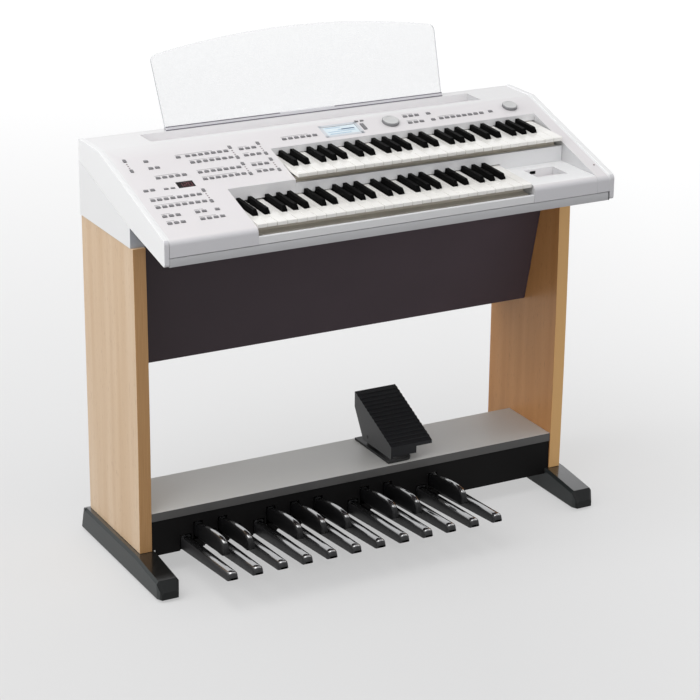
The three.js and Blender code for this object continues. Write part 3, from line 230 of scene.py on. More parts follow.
paper_colour = paper.node("ShaderNodeValToRGB", {"stops": paper_stops}, {"Fac": far_share})
lift = paper.node("ShaderNodeValToRGB", {"stops": lift_stops}, {"Fac": far_share})
lift = paper.vector("ADD", lift, paper.spread(aside, 0.3, 1.0, 0.0, 0.06))
lift = paper.vector("ADD", lift, paper.spread(reach, 7.0, 20.0, 0.0, 0.5))
camera_ray, glossy_ray, clear_ray = (paper.node("ShaderNodeLightPath", output=f"Is {ray} Ray")
                                     for ray in ("Camera", "Glossy", "Transmission"))
paper.feed(paper_shader.inputs["Base Color"], paper_colour)
paper.feed(paper_shader.inputs["Emission Color"],
           paper.mixed(camera_ray + glossy_ray + clear_ray, grey(0.0), lift))
paper_shader.inputs["Emission Strength"].default_value = 1.0
paper_shader.inputs["Roughness"].default_value = 0.8
paper_shader.inputs["Specular IOR Level"].default_value = 0.1
bpy.ops.mesh.primitive_plane_add(size=2 * floor_half)
floor = bpy.context.object
floor.name = "studio_floor"
floor.data.materials.append(floor_paper)
print("floor", 2 * floor_half, "m wide")

# %% The lamps
lamp_target = Vector((0, 0, 0.6))
lamps = [
    ("key_lamp", (-2.6, -0.7, 5.0), (4.0, 4.0), 132), ("left_lamp", (-5.2, 0.6, 2.4), (3.0, 3.0), 66),
    ("front_lamp", (-0.6, -5.2, 1.8), (3.0, 2.0), 20), ("right_lamp", (4.6, -1.0, 3.0), (3.0, 3.0), 20),
]
for name, place, size, power in lamps:
    lamp = placed(name, bpy.data.lights.new(name, "AREA"))
    lamp.data.shape = "RECTANGLE"
    lamp.data.size, lamp.data.size_y = size
    lamp.data.energy = power
    lamp.location = place
    lamp.rotation_mode = "QUATERNION"
    lamp.rotation_quaternion = (lamp_target - Vector(place)).to_track_quat("-Z", "Y")
print("lamps", len(lamps))

# %% The world
world = bpy.data.worlds.new("studio")
scene.world = world
world.use_nodes = True
sky = Tree(world.node_tree)
mirrored = (sky.node("ShaderNodeLightPath", output="Is Glossy Ray")
            + sky.node("ShaderNodeLightPath", output="Is Camera Ray"))
fill_strength, mirrored_extra = 0.54, 0.46
world_light = world.node_tree.nodes["Background"]
world_light.inputs["Color"].default_value = (0.98, 0.985, 1.0, 1)
sky.feed(world_light.inputs["Strength"], mirrored * mirrored_extra + fill_strength)
scene.view_settings.view_transform = "Standard"
print("world strength", fill_strength, "and", fill_strength + mirrored_extra, "in gloss")

# %% [markdown]
# ## Finishes
# Each finish is a fresh material with one Principled shader. The patterns read Object
# coordinates, so they stay on the piece when it moves. Moulded plastic has a very fine grain and
# hardly any change of colour; that little is what keeps a large white face from looking empty.
# Noise seldom leaves the range from 0.3 to 0.7, so that range is what gets spread.

# %% A new finish
patch_scale, wear_scale, film_scale, pebble_scale = 7.0, 11.0, 18.0, 1400.0
square_on = 0.6


class Finish(Tree):
    def __init__(self, name, roughness=0.5, metallic=0.0, coat=0.0):
        self.material = bpy.data.materials.new(name)
        self.material.use_nodes = True
        super().__init__(self.material.node_tree)
        self.shader = self.material.node_tree.nodes["Principled BSDF"]
        self.fix({"Roughness": roughness, "Metallic": metallic, "Coat Weight": coat})
        self.place = self.node("ShaderNodeTexCoord", output="Object")

    def fix(self, levels):
        for name, level in levels.items():
            self.shader.inputs[name].default_value = level

    def set(self, name, value):
        self.feed(self.shader.inputs[name], value)

    def coloured(self, share, low, high):
        self.set("Base Color", self.mixed(share, low, high))

    def stretched(self, scale):
        return self.node("ShaderNodeMapping", None, {"Vector": self.place, "Scale": scale})

    def clouds(self, scale, detail=3.0, place=None):
        return self.node("ShaderNodeTexNoise", None,
                         {"Vector": place or self.place, "Scale": scale, "Detail": detail}, output="Fac")

    def between(self, noise, low=0.0, high=1.0):
        return self.spread(noise, 0.3, 0.7, low, high)

    def relief(self, height, strength, distance):
        self.set("Normal", self.node("ShaderNodeBump", None, {"Height": height, "Strength": strength,
                                                              "Distance": distance}))

    def pebbled(self, roughness, grain=0.2):
        pebbles = self.clouds(pebble_scale, 1.0)
        self.set("Roughness", self.between(pebbles, roughness - 0.04, roughness + 0.05))
        self.relief(pebbles, grain, 0.0001)


# %% Moulded and painted finishes
def moulded(name, colour, roughness, grain=0.25, change=0.04, **shader):
    finish = Finish(name, roughness, **shader)
    patches = finish.between(finish.clouds(patch_scale, 2.0))
    finish.coloured(patches, shade(colour, 1 - change), shade(colour, 1 + change / 2))
    finish.pebbled(roughness, grain)
    return finish.material


def painted(name, colour, roughness, metallic=0.0):
    finish = Finish(name, roughness, metallic)
    wear = finish.clouds(wear_scale, 4.0)
    faded = finish.spread(wear, 0.35, 0.65)
    finish.coloured(faded, shade(colour, 0.95), shade(colour, 1.03))
    finish.set("Roughness", finish.between(wear, roughness - 0.05, roughness + 0.05))
    finish.relief(finish.clouds(260.0, 2.0), 0.15, 0.0002)
    return finish.material


def shaded_by_face(name, side, top, front, roughness):
    """Moulded plastic with painted light and shade: its sides, its top and its face to the player each get
    a tone for how the light falls on them.
    """
    finish = Finish(name, roughness)
    skin = finish.mixed(finish.clouds(patch_scale, 2.0), shade(side, 0.99), solid(side))
    skin = finish.mixed(finish.spread(finish.facing("Z"), 0.1, 0.5), skin, solid(top))
    finish.coloured(finish.facing("Y") < -square_on, skin, solid(front))
    finish.pebbled(roughness)
    return finish.material


finishes = {
    "white_case": moulded("white_case", srgb(237, 236, 237), 0.42, 0.2, 0.015),
    "silver_trim": moulded("silver_band", srgb(188, 188, 190), 0.36, 0.15, 0.03, metallic=0.2),
    "key_frames": moulded("key_frames", srgb(222, 216, 204), 0.6),
    "buttons": moulded("button_caps", srgb(122, 121, 123), 0.5, 0.2),
    "socket": moulded("socket", srgb(20, 20, 21), 0.45),
    "pedal_frame": painted("pedal_frame", srgb(13, 12, 12), 0.62),
    "supply_can": painted("supply_can", srgb(170, 172, 174), 0.36, 0.8),
    # The grey case and the arms below carry painted shade: their tops and faces to the player are darker
    # than their sides.
    "grey_case": shaded_by_face("grey_case", srgb(242, 242, 242), srgb(236, 236, 236), srgb(180, 183, 189), 0.45),
}
arm_case = shaded_by_face("arm_case", srgb(248, 248, 248), srgb(236, 236, 236), srgb(216, 215, 218), 0.42)
print(len(finishes), "moulded and painted finishes")

# %% The dials, the feet and the shelf
dial_skin = Finish("dials", 0.4, metallic=0.15)
dial_top = dial_skin.mixed(dial_skin.clouds(60.0, 2.0), tone(198, 198, 197), tone(206, 206, 205))
dial_skin.coloured(dial_skin.facing("Z") > 0.7, tone(146, 146, 148), dial_top)
finishes["dials"] = dial_skin.material

slate = Finish("slate_feet", 0.34)
slate_grain = slate.clouds(900.0, 1.0)
slate_skin = slate.mixed(slate.clouds(9.0, 2.0), tone(46, 50, 50), tone(53, 57, 57))
# Painted shade: the faces to the player are darker than the sides.
sides_and_shaded_front = slate.mixed(slate.facing("Y") < -0.3, slate_skin, tone(18, 20, 20))
slate_top = slate.facing("Z") > 0.95
slate.coloured(slate_top, sides_and_shaded_front, tone(24, 24, 23))
slate.set("Coat Weight", slate_top)
slate.fix({"Specular IOR Level": 0.24, "Coat IOR": 1.8, "Coat Roughness": 0.16})
slate.set("Roughness", slate.between(slate_grain, 0.3, 0.4))
slate.relief(slate_grain, 0.15, 0.0001)
finishes["feet"] = slate.material

shelf_paint = Finish("shelf_paint", 0.46)
shelf_wear = shelf_paint.clouds(wear_scale, 4.0)
shelf_tone = shelf_paint.mixed(shelf_wear, tone(206, 205, 202), tone(214, 213, 209))
shelf_paint.coloured(shelf_paint.facing("Y") < -0.5, shelf_tone, tone(82, 81, 80))
shelf_paint.set("Roughness", shelf_paint.between(shelf_wear, 0.4, 0.5))
finishes["shelf"] = shelf_paint.material
print(len(finishes), "finishes so far")

# %% [markdown]
# ### Beech
# The side panels are veneered in beech with the grain standing up. Beech is pale, with soft
# broad bands and short dark flecks. Noise that is stretched along Z gives both: a wide one for
# the bands and a fine one whose peaks alone are kept for the flecks.

# %% Beech veneer
beech = Finish("beech_veneer", 0.4)
pale_beech, warm_beech, fleck_brown = srgb(226, 200, 170), srgb(212, 180, 143), srgb(176, 136, 98)
bands = beech.clouds(1.0, 5.0, beech.stretched((26, 26, 1.1)))
fibres = beech.clouds(1.0, 3.0, beech.stretched((900, 900, 9)))
flecks = beech.clouds(1.0, 1.0, beech.stretched((420, 420, 46)))
fleck_share = beech.spread(flecks, 0.66, 0.74) * 0.45
wood = beech.mixed(beech.spread(bands, 0.32, 0.68), solid(pale_beech), solid(warm_beech))
wood = beech.mixed(beech.spread(fibres, 0.4, 0.8) * 0.35, wood, solid(warm_beech))
wood = beech.mixed(fleck_share, wood, solid(fleck_brown))
# The front edges are a browner edge banding, darkened further as painted shade.
banding_and_shade = beech.mixed(beech.spread(fibres, 0.3, 0.8), tone(190, 146, 96), tone(172, 128, 80))
beech.coloured(beech.facing("Y") < -0.5, wood, banding_and_shade)
beech.set("Roughness", beech.between(fibres, 0.36, 0.48))
beech.relief(fibres + fleck_share, 0.12, 0.0002)
finishes["side_panels"] = beech.material

# %% [markdown]
# ### Pedals, keys and screens
# The pedals are gloss black over plastic. The white keys are a little warm and quite smooth, and the black
# keys have a fine matt grain.

# %% Gloss finishes
def glossy(name, colour, roughness, coat):
    finish = Finish(name, roughness, coat=coat)
    film = finish.clouds(film_scale, 4.0)
    finish.coloured(finish.between(film), shade(colour, 0.94), shade(colour, 1.02))
    finish.set("Roughness", finish.between(film, roughness, roughness + 0.08))
    return finish.material


def pedal_gloss(name, dark, light):
    """Black gloss on a pedal's crown, and duller sides between two tones."""
    pedal = Finish(name, 0.3)
    crown_share = pedal.spread(pedal.facing("Z"), 0.6, 0.85)
    pedal_sides = pedal.mixed(pedal.clouds(film_scale, 4.0), dark, light)
    pedal.coloured(crown_share, pedal_sides, tone(18, 18, 19))
    pedal.set("Roughness", pedal.mixed(crown_share, grey(0.46), grey(0.24)))
    pedal.set("Coat Weight", crown_share)
    pedal.fix({"Coat IOR": 5.0, "Coat Roughness": 0.1, "Specular IOR Level": 0.3})
    return pedal.material


finishes["pedals"] = pedal_gloss("pedal_gloss", tone(38, 38, 39), tone(44, 44, 45))
# The raised pedals are the same black plastic, with sides painted darker as painted shade.
shaded_raised_gloss = pedal_gloss("raised_pedal_gloss", tone(12, 12, 13), tone(18, 18, 19))
finishes["natural_keys"] = glossy("natural_keys", srgb(250, 248, 243), 0.2, 0.3)
finishes["sharp_keys"] = moulded("sharp_keys", srgb(7, 7, 7), 0.5, 0.3)
finishes["led"] = glossy("red_window", srgb(14, 6, 8), 0.3, 0.0)
for dull, level in (("sharp_keys", 0.03), ("pedal_frame", 0.12), ("key_frames", 0.2), ("led", 0.12)):
    finishes[dull].node_tree.nodes["Principled BSDF"].inputs["Specular IOR Level"].default_value = level
finishes["circuit"] = glossy("circuit_board", srgb(26, 92, 50), 0.35, 0.2)
finishes["drivers"] = moulded("speaker_cone", srgb(34, 34, 35), 0.7, 0.8)

# %% The translucent music rest
rest_finish = Finish("frosted_rest", 0.28)
frost = rest_finish.clouds(900.0, 2.0)
rest_side = rest_finish.facing("X")
rest_face = rest_finish.mixed(frost, tone(244, 246, 248), tone(252, 253, 254))
rest_finish.coloured(rest_side < -square_on, rest_face, tone(176, 178, 182))
rest_finish.set("Roughness", rest_finish.between(frost, 0.24, 0.34))
rest_finish.set("Alpha", rest_finish.spread(rest_side * rest_side, 0.3, 0.6, 0.26, 0.8))
finishes["rest_plate"] = rest_finish.material

# %% The treadle's rubber, the knee panel's cloth and the pale screen
rubber = Finish("treadle_rubber", 0.5)
crumbs = rubber.clouds(700.0, 2.0)
tread = rubber.mixed(crumbs, tone(12, 12, 14), tone(22, 23, 27))
# Painted light: the flank that looks to the left is a paler grey than the tread.
lit_cheeks = rubber.mixed(crumbs, tone(76, 77, 78), tone(92, 93, 94))
rubber.coloured(rubber.facing("X") < -square_on, tread, lit_cheeks)
rubber.set("Roughness", rubber.between(crumbs, 0.4, 0.6))
rubber.relief(crumbs, 0.4, 0.0002)
rubber.fix({"Specular IOR Level": 0.3})
finishes["treadle"] = rubber.material

knee = Finish("knee_cloth", 0.75)
across_weave, up_weave = (knee.node("ShaderNodeTexWave", {"bands_direction": axis},
                                    {"Vector": knee.place, "Scale": 260.0}) for axis in "XZ")
weave = across_weave * up_weave
mottle = knee.between(knee.clouds(5.0, 2.0)) * 0.3
# Painted light: the cloth grows a little lighter from left to right.
light_across_cloth = knee.spread(knee.part(knee.place, "X"), -0.5, 0.5)
cloth = knee.mixed(light_across_cloth, tone(60, 51, 56), tone(78, 65, 72))
knee.coloured(mottle, cloth, tone(56, 47, 52))
knee.set("Roughness", knee.spread(weave, 0.0, 1.0, 0.85, 0.7))
knee.relief(weave, 0.3, 0.0003)
finishes["knee_cloth"] = knee.material

lcd = Finish("lcd_glass", 0.14, coat=0.4)
cells = lcd.between(lcd.clouds(60.0, 1.0))
lcd.coloured(cells, tone(212, 228, 236), tone(226, 238, 244))
finishes["lcd"] = lcd.material
print(len(finishes), "finishes")

# %% [markdown]
# ### The panel's tones
# The control panel and the cheek are one white plastic. The sloping face is printed over with a warmer
# satin coat that stops just short of its ends. The walls of the wells that look to the left, and the faces
# to the player behind the nose, are made greyer as painted shade. The finish tells them apart by the way
# each face looks, and by where it is.

# %% The control panel's plastic
panel_case = Finish("panel_case", 0.42)
panel_low, panel_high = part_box("control_panel")
satin_inset, print_fade = 0.0035, 0.001
nose_depth, upper_flats = 0.03, 0.9
satin_left, satin_right = panel_low.x + satin_inset, panel_high.x - satin_inset
panel_x, panel_y, panel_z = (panel_case.part(panel_case.place, axis) for axis in "XYZ")
slope = panel_case.spread(panel_case.facing("Z"), 0.99, 0.965)
inside = (panel_case.spread(panel_x, satin_left - print_fade, satin_left)
          * panel_case.spread(panel_x, satin_right, satin_right - print_fade))
satin = panel_case.mixed(panel_case.clouds(patch_scale, 2.0), tone(223, 219, 220), tone(228, 225, 226))
flat = panel_case.mixed(panel_z > upper_flats, tone(240, 240, 240), tone(231, 230, 230))
panel_skin = panel_case.mixed(inside, tone(240, 240, 240), panel_case.mixed(slope, flat, satin))
# Painted shade: faces to the player behind the nose are darker than the nose.
front_with_shade = panel_case.mixed(panel_y < panel_low.y + nose_depth, tone(240, 239, 240), tone(214, 213, 216))
to_player = panel_case.spread(panel_case.facing("Y"), -0.4, -0.95)
panel_skin = panel_case.mixed(to_player, panel_skin, front_with_shade)
# Painted shade: walls that look to the left are greyer.
panel_skin = panel_case.mixed(panel_case.facing("X") < -square_on, panel_skin, tone(198, 198, 199))
panel_case.set("Base Color", panel_skin)
panel_case.pebbled(0.42)

# %% [markdown]
# ### Finishes of their own
# Some solids share a slot with others and still look different. The right side panel is seen from inside:
# its inner face is painted deeper brown as painted shade and its front edge paler as painted light. The
# speaker box is painted board behind the cloth, and several white pieces are lit so differently that each
# has its own white, which is painted light and shade.

# %% The veneer with painted shade and light, and the other solids with a finish of their own
shaded_beech = beech.material.copy()
shaded_beech.name = "beech_painted_shade"
inner = Tree(shaded_beech.node_tree)
inner_colour = shaded_beech.node_tree.nodes["Principled BSDF"].inputs["Base Color"]
veneer = Amount(inner, inner_colour.links[0].from_socket)
# Painted shade on the inner face that looks to the left, and painted light on the front edge.
shaded_inside = inner.mixed(inner.facing("X") < -square_on, veneer, (1.0, 0.66, 0.36, 1), "MULTIPLY")
lit_front = (inner.facing("Y") < -square_on) * 0.8
inner.feed(inner_colour, inner.mixed(lit_front, shaded_inside, tone(240, 190, 124)))
own_finishes = {
    "expression_base": moulded("pedestal_black", srgb(14, 14, 15), 0.5),
    "right_side_panel": shaded_beech,
    "speaker_box": painted("box_paint", srgb(44, 40, 42), 0.6),
    "key_slip": moulded("slip_white", srgb(228, 228, 229), 0.42, 0.2, 0.015),
    "control_panel": panel_case.material,
    "right_cheek": panel_case.material,
    "left_arm": arm_case,
    "right_arm": arm_case,
    "manual_fascia": moulded("fascia_grey", srgb(236, 236, 237), 0.45, 0.2, 0.02),
    "music_rest_foot": moulded("rail_grey", srgb(212, 211, 215), 0.4, 0.1, 0.02),
}
pedal_names = [node for node in nodes if slot_of_node[node] == "pedals"]
own_finishes.update((node, shaded_raised_gloss) for node in pedal_names if "sharp" in node)
print(len(own_finishes), "solids with a finish of their own")

# %% Give every solid its finish
for node, solid_object in nodes.items():
    solid_object.data.materials.clear()
    solid_object.data.materials.append(own_finishes.get(node, finishes[slot_of_node[node]]))
print(len(nodes), "solids finished")

# %% [markdown]
# ## Softer edges
# A real edge is never sharp: moulded plastic has a radius and wood is sanded. A copy of each
# solid is welded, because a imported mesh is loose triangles, and its flat faces are made whole so
# that the Bevel modifier sees true edges. The Weighted Normal modifier keeps large faces flat.

# %% Weld a copy and soften its edges
def welded_copy(node):
    mesh = nodes[node].data.copy()
    shape = bmesh.new()
    shape.from_mesh(mesh)
    bmesh.ops.remove_doubles(shape, verts=shape.verts, dist=1e-5)
    bmesh.ops.dissolve_limit(shape, angle_limit=math.radians(0.8), verts=shape.verts, edges=shape.edges)
    for face in shape.faces:
        face.smooth = True
    shape.to_mesh(mesh)
    shape.free()
    return mesh


bevel_steps, sharpest_fold = 2, math.radians(28)


def soften(node, width, mesh=None):
    piece = placed(node + "_finished", mesh or welded_copy(node))
    bevel = piece.modifiers.new("soft_edges", "BEVEL")
    bevel.width = width
    bevel.segments = bevel_steps
    bevel.limit_method = "ANGLE"
    bevel.angle_limit = sharpest_fold
    even = piece.modifiers.new("flat_faces", "WEIGHTED_NORMAL")
    even.keep_sharp = True
    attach(piece, body_of_node[node])
    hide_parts(node)
    return piece


# %% Soften the stand and the case
edge_widths = {
    "left_side_panel": 0.0012, "right_side_panel": 0.0012, "pedal_shelf": 0.0012,
    "pedal_front_wall": 0.0004, "pedal_chassis": 0.0006, "knee_panel": 0.0012, "speaker_box": 0.001,
    "left_arm": 0.0014, "right_arm": 0.0014, "bottom_case": 0.0005, "front_band": 0.0006,
    "key_slip": 0.0006, "control_panel": 0.0006, "manual_fascia": 0.0008, "right_cheek": 0.0008,
    "usb_port": 0.0003, "music_rest": 0.0012, "music_rest_foot": 0.0006, "expression_base": 0.0015,
    "left_button_set": 0.0005, "upper_button_set": 0.0005, "data_dial": 0.0006, "tempo_dial": 0.0006,
    "lcd_display": 0.0004, "led_display": 0.0004,
}
for node, width in edge_widths.items():
    soften(node, width)
print(len(edge_widths), "softened pieces")

# %% [markdown]
# Three copies change a little before their edges soften. The heel of each foot leans forward and
# is lower than the solid's. The treadle's skirt stops two thirds of the way across, where a
# Boolean modifier takes a wedge out of it and its result is kept as a plain mesh.

# %% The leaning heels
panel_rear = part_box("left_side_panel")[1].y
heel_top, heel_lean = 0.0605, 0.016 / 0.06
for node in ("left_foot", "right_foot"):
    foot_mesh = welded_copy(node)
    for corner in foot_mesh.vertices:
        behind = corner.co.y - panel_rear
        if behind > 0.0004:
            corner.co.z = min(corner.co.z, heel_top)
        if behind > 0.015 and corner.co.z > 0.02:
            corner.co.y -= heel_lean * corner.co.z
    soften(node, 0.005, foot_mesh)
print("heels lean")

# %% Cut a wedge out of the treadle
def carved(node, outline, left, right):
    cutter_mesh = bpy.data.meshes.new("wedge")
    count = len(outline)
    walls = [(index, (index + 1) % count, count + (index + 1) % count, count + index)
             for index in range(count)]
    ends = [tuple(reversed(range(count))), tuple(range(count, 2 * count))]
    cutter_mesh.from_pydata([(x, y, z) for x in (left, right) for y, z in outline], [], walls + ends)
    wedge = bmesh.new()
    wedge.from_mesh(cutter_mesh)
    bmesh.ops.recalc_face_normals(wedge, faces=wedge.faces)
    wedge.to_mesh(cutter_mesh)
    wedge.free()
    cutter, block = placed("wedge", cutter_mesh), placed("uncut", welded_copy(node))
    cut = block.modifiers.new("cut", "BOOLEAN")
    cut.object = cutter
    cut.solver = "EXACT"
    bpy.context.view_layer.update()
    result = bpy.data.meshes.new_from_object(block.evaluated_get(bpy.context.evaluated_depsgraph_get()))
    for thing in (cutter, block):
        bpy.data.objects.remove(thing)
    return result


tread_low, tread_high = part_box("expression_pedal")
over_shelf, tread_slope, open_length, skirt_share, spare = 0.0352, 78 / 181, 0.091, 0.62, 0.002
under_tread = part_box("pedal_shelf")[1].z + over_shelf
skirt_end = tread_low.x + skirt_share * (tread_high.x - tread_low.x)
wedge_bottom = tread_low.z - 0.01
wedge_outline = [(tread_low.y - spare, wedge_bottom), (tread_low.y + open_length, wedge_bottom),
                 (tread_low.y + open_length, under_tread + open_length * tread_slope),
                 (tread_low.y - spare, under_tread - spare * tread_slope)]
treadle_mesh = carved("expression_pedal", wedge_outline, skirt_end, tread_high.x + spare)
soften("expression_pedal", 0.0018, treadle_mesh)
print("treadle", round(tread_high.x - tread_low.x, 3), "m wide")

# %% [markdown]
# The recess in the cheek is deepest at its far wall, and there it runs out through the thin
# underside of the solid. A thin tray closes it: a sloping floor, a far wall and two sides.

# %% The tray of the recess
port_low, port_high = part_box("usb_port")
recess_width, recess_length, recess_depth = 0.079, 0.065, 0.019
recess_left, recess_rear = (port_low.x + port_high.x) / 2 - 0.025, port_low.y
recess_right = recess_left + recess_width
cheek_top = (port_low.z + port_high.z) / 2 + 0.008
wall_top, wall_gap, sheet, under = cheek_top - 0.0114, 0.0003, 0.001, 0.0009
wall_rear = recess_rear + wall_gap + sheet
tray_points, tray_faces = [], []


def tray_floor(y, lift):
    return cheek_top - recess_depth * (1 - (recess_rear - y) / recess_length) + lift


def tray_plate(xs, ys, head):
    first = len(tray_points)
    tray_points.extend((x, y, tray_floor(y, -under)) for y in ys for x in xs)
    tray_points.extend((x, y, head(y)) for y in ys for x in xs)
    for face in ((0, 2, 3, 1), (4, 5, 7, 6), (0, 1, 5, 4), (2, 6, 7, 3), (0, 4, 6, 2), (1, 3, 7, 5)):
        tray_faces.append([first + corner for corner in face])


def wall_head(y):
    return wall_top


recess_xs = (recess_left, recess_right)
tray_plate(recess_xs, (recess_rear - 0.8 * recess_length, recess_rear), lambda y: tray_floor(y, wall_gap))
tray_plate(recess_xs, (recess_rear + wall_gap, wall_rear), wall_head)
for side in (recess_left - wall_gap - sheet, recess_right + wall_gap):
    tray_plate((side, side + sheet), (recess_rear - 0.3 * recess_length, wall_rear), wall_head)
tray_mesh = bpy.data.meshes.new("recess_tray")
tray_mesh.from_pydata(tray_points, [], tray_faces)
tray_mesh.materials.append(panel_case.material)
recess_tray = placed("recess_tray", tray_mesh)
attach(recess_tray, "console")
print("recess", recess_depth, "m deep")

# %% [markdown]
# The white keys of the real organ show a shallow front with shadow under it. The solids have a
# deeper front, so the lower front corners of each copied key are raised before the edges soften.

# %% Soften the keys
front_rise, front_reach, front_skin = 0.005, 0.0015, 0.011


def shallower_fronts(piece):
    front = min(corner.co.y for corner in piece.data.vertices) + front_reach
    corners = [corner for corner in piece.data.vertices if corner.co.y < front]
    top = max(corner.co.z for corner in corners)
    for corner in corners:
        if corner.co.z < top - front_skin:
            corner.co.z += front_rise


for level in ("lower", "upper"):
    for comb in ("c_e_g_b_keys", "d_f_a_keys"):
        shallower_fronts(soften(f"{level}_{comb}", 0.0006))
    soften(f"{level}_sharp_keys", 0.0012)
print("keys on two manuals")

# %% [markdown]
# ### Pedals with a round crown
# A pedal is moulded with a crown that is round from side to side and runs down to its nose in
# one curve. A solid with flat facets would mirror the room in flat patches, so the lever is laid
# again as a row of rings through the same heights. The tail with its hinge eye is kept from the
# solid, cut just behind the front wall.

# %% A ring across the pedal
lower_edge, arch_steps = 0.0016, 14


def pedal_ring(x, y, low, high, draw_in, half_bottom, half_shoulder, crown):
    foot, side = half_bottom - draw_in, half_shoulder - draw_in
    chamfer = lower_edge / 4
    right = [(foot - lower_edge, low), (foot - chamfer, low + chamfer), (foot, low + lower_edge)]
    arch = [(side * math.cos(turn), high - crown + crown * math.sin(turn))
            for turn in (math.pi * step / arch_steps for step in range(arch_steps + 1))]
    left = [(-across, z) for across, z in reversed(right)]
    return [(x + across, y, z) for across, z in right + arch + left]


# %% The lever and its tail
# A ring is its place behind the nose, its low and high edges, and how much narrower it is.
natural_rings = [(0, 0.0815, 0.0868, 0.0045), (0.0008, 0.0795, 0.0896, 0.003),
                 (0.0025, 0.0772, 0.093, 0.0016), (0.005, 0.0757, 0.0953, 0.0006),
                 (0.009, 0.075, 0.0968, 0), (0.016, 0.0746, 0.0966, 0),
                 (0.247, 0.052, 0.0825, 0), (0.2545, 0.0658, 0.08, 0)]
raised_rings = [(0, 0.09, 0.1046, 0.003), (0.0012, 0.0886, 0.1092, 0.0018), (0.0035, 0.088, 0.1142, 0.001),
                (0.007, 0.088, 0.1184, 0.0004), (0.013, 0.088, 0.1218, 0), (0.021, 0.088, 0.1243, 0),
                (0.03, 0.088, 0.1255, 0), (0.045, 0.0865, 0.1255, 0), (0.06, 0.085, 0.1247, 0),
                (0.076, 0.0835, 0.1233, 0), (0.091, 0.083, 0.1212, 0), (0.108, 0.082, 0.118, 0),
                (0.126, 0.081, 0.1138, 0), (0.147, 0.079, 0.1088, 0), (0.1545, 0.0858, 0.104, 0)]
kinds = {"natural": (natural_rings, 0.013, 0.0116, 0.0085),
         "raised": (raised_rings, 0.0105, 0.0082, 0.0095)}
wall_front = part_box("pedal_front_wall")[0].y


def laid_lever(node):
    low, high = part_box(node)
    rings, *shape = kinds["raised" if "sharp" in node else "natural"]
    middle_x = (low.x + high.x) / 2
    lever = bmesh.new()
    rows = [[lever.verts.new(place) for place in pedal_ring(middle_x, low.y + ahead, *heights, *shape)]
            for ahead, *heights in rings]
    for row, next_row in zip(rows, rows[1:]):
        for index in range(len(row)):
            after = (index + 1) % len(row)
            lever.faces.new((row[index], row[after], next_row[after], next_row[index]))
    lever.faces.new(rows[0])
    lever.faces.new(reversed(rows[-1]))
    bmesh.ops.recalc_face_normals(lever, faces=lever.faces)
    for face in lever.faces:
        face.smooth = True
    mesh = bpy.data.meshes.new(node + "_lever")
    lever.to_mesh(mesh)
    lever.free()
    return mesh


def round_pedal(node):
    tail = bmesh.new()
    tail.from_mesh(welded_copy(node))
    cut = bmesh.ops.bisect_plane(tail, geom=tail.verts[:] + tail.edges[:] + tail.faces[:],
                                 plane_co=(0, wall_front + 0.001, 0), plane_no=(0, 1, 0), clear_inner=True)
    cut_edges = [part for part in cut["geom_cut"] if isinstance(part, bmesh.types.BMEdge)]
    bmesh.ops.holes_fill(tail, edges=cut_edges)
    for face in tail.faces:
        face.smooth = False
    tail.from_mesh(laid_lever(node))
    mesh = bpy.data.meshes.new(node + "_finished")
    tail.to_mesh(mesh)
    tail.free()
    mesh.materials.append(own_finishes.get(node, finishes["pedals"]))
    piece = placed(node + "_finished", mesh)
    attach(piece, body_of_node[node])
    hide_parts(node)


for node in pedal_names:
    round_pedal(node)
print(len(pedal_names), "pedals")

# %% [markdown]
# ## Places on the sloping panel
# Small fittings are laid out flat, with X across, Y up the slope and Z out of the panel, and one
# matrix lifts them into place. The buttons move square to the panel, so their joint gives the
# slope, and the data dial's joint gives a point that lies on it.

# %% The panel's frame
joints = {joint["name"]: joint for joint in frame["joints"]}
panel_out = -Vector(joints["left_buttons_press"]["axis"])
panel_up = Vector((0, panel_out.z, -panel_out.y))
dial_place = Vector(joints["data_dial_turn"]["pos_m"])
tempo_place = Vector(joints["tempo_dial_turn"]["pos_m"])
dial_row = 0.317349
panel_foot = Vector((0, dial_place.y, dial_place.z)) - panel_up * dial_row
panel_turn = Matrix((Vector((1, 0, 0)), panel_up, panel_out)).transposed()
panel_matrix = Matrix.Translation(panel_foot) @ panel_turn.to_4x4()
from_panel = panel_matrix.inverted()
print("slope", round(math.degrees(math.acos(panel_out.z)), 2), "degrees")


# %% Read the caps and windows from the solids
def flat_tops(node, lift):
    shape = bmesh.new()
    shape.from_mesh(welded_copy(node))
    shape.transform(from_panel)
    shape.normal_update()
    tops = []
    for face in shape.faces:
        if face.normal.z > 0.99 and abs(face.calc_center_median().z - lift) < 0.0003:
            xs = [corner.co.x for corner in face.verts]
            ys = [corner.co.y for corner in face.verts]
            middle_x, middle_y = (min(xs) + max(xs)) / 2, (min(ys) + max(ys)) / 2
            tops.append((middle_x, middle_y, max(xs) - min(xs), max(ys) - min(ys)))
    shape.free()
    return sorted(tops)


cap_rise, window_lift = 0.002, -0.0008
left_caps = flat_tops("left_button_set", cap_rise)
upper_caps = flat_tops("upper_button_set", cap_rise)
lcd_x, lcd_y, lcd_width, lcd_depth = flat_tops("lcd_display", window_lift)[0]
led_x, led_y = flat_tops("led_display", window_lift)[0][:2]
print(len(left_caps), "caps on the left,", len(upper_caps), "above the keys")

# %% [markdown]
# ## Shapes that repeat
# Printed marks, lamps, digits and screws are the same small shape many times over. Geometry
# Nodes place it on points. Each tree has named inputs for its sizes and ends by making the
# copies real and giving them a material, so that the result is a plain mesh.

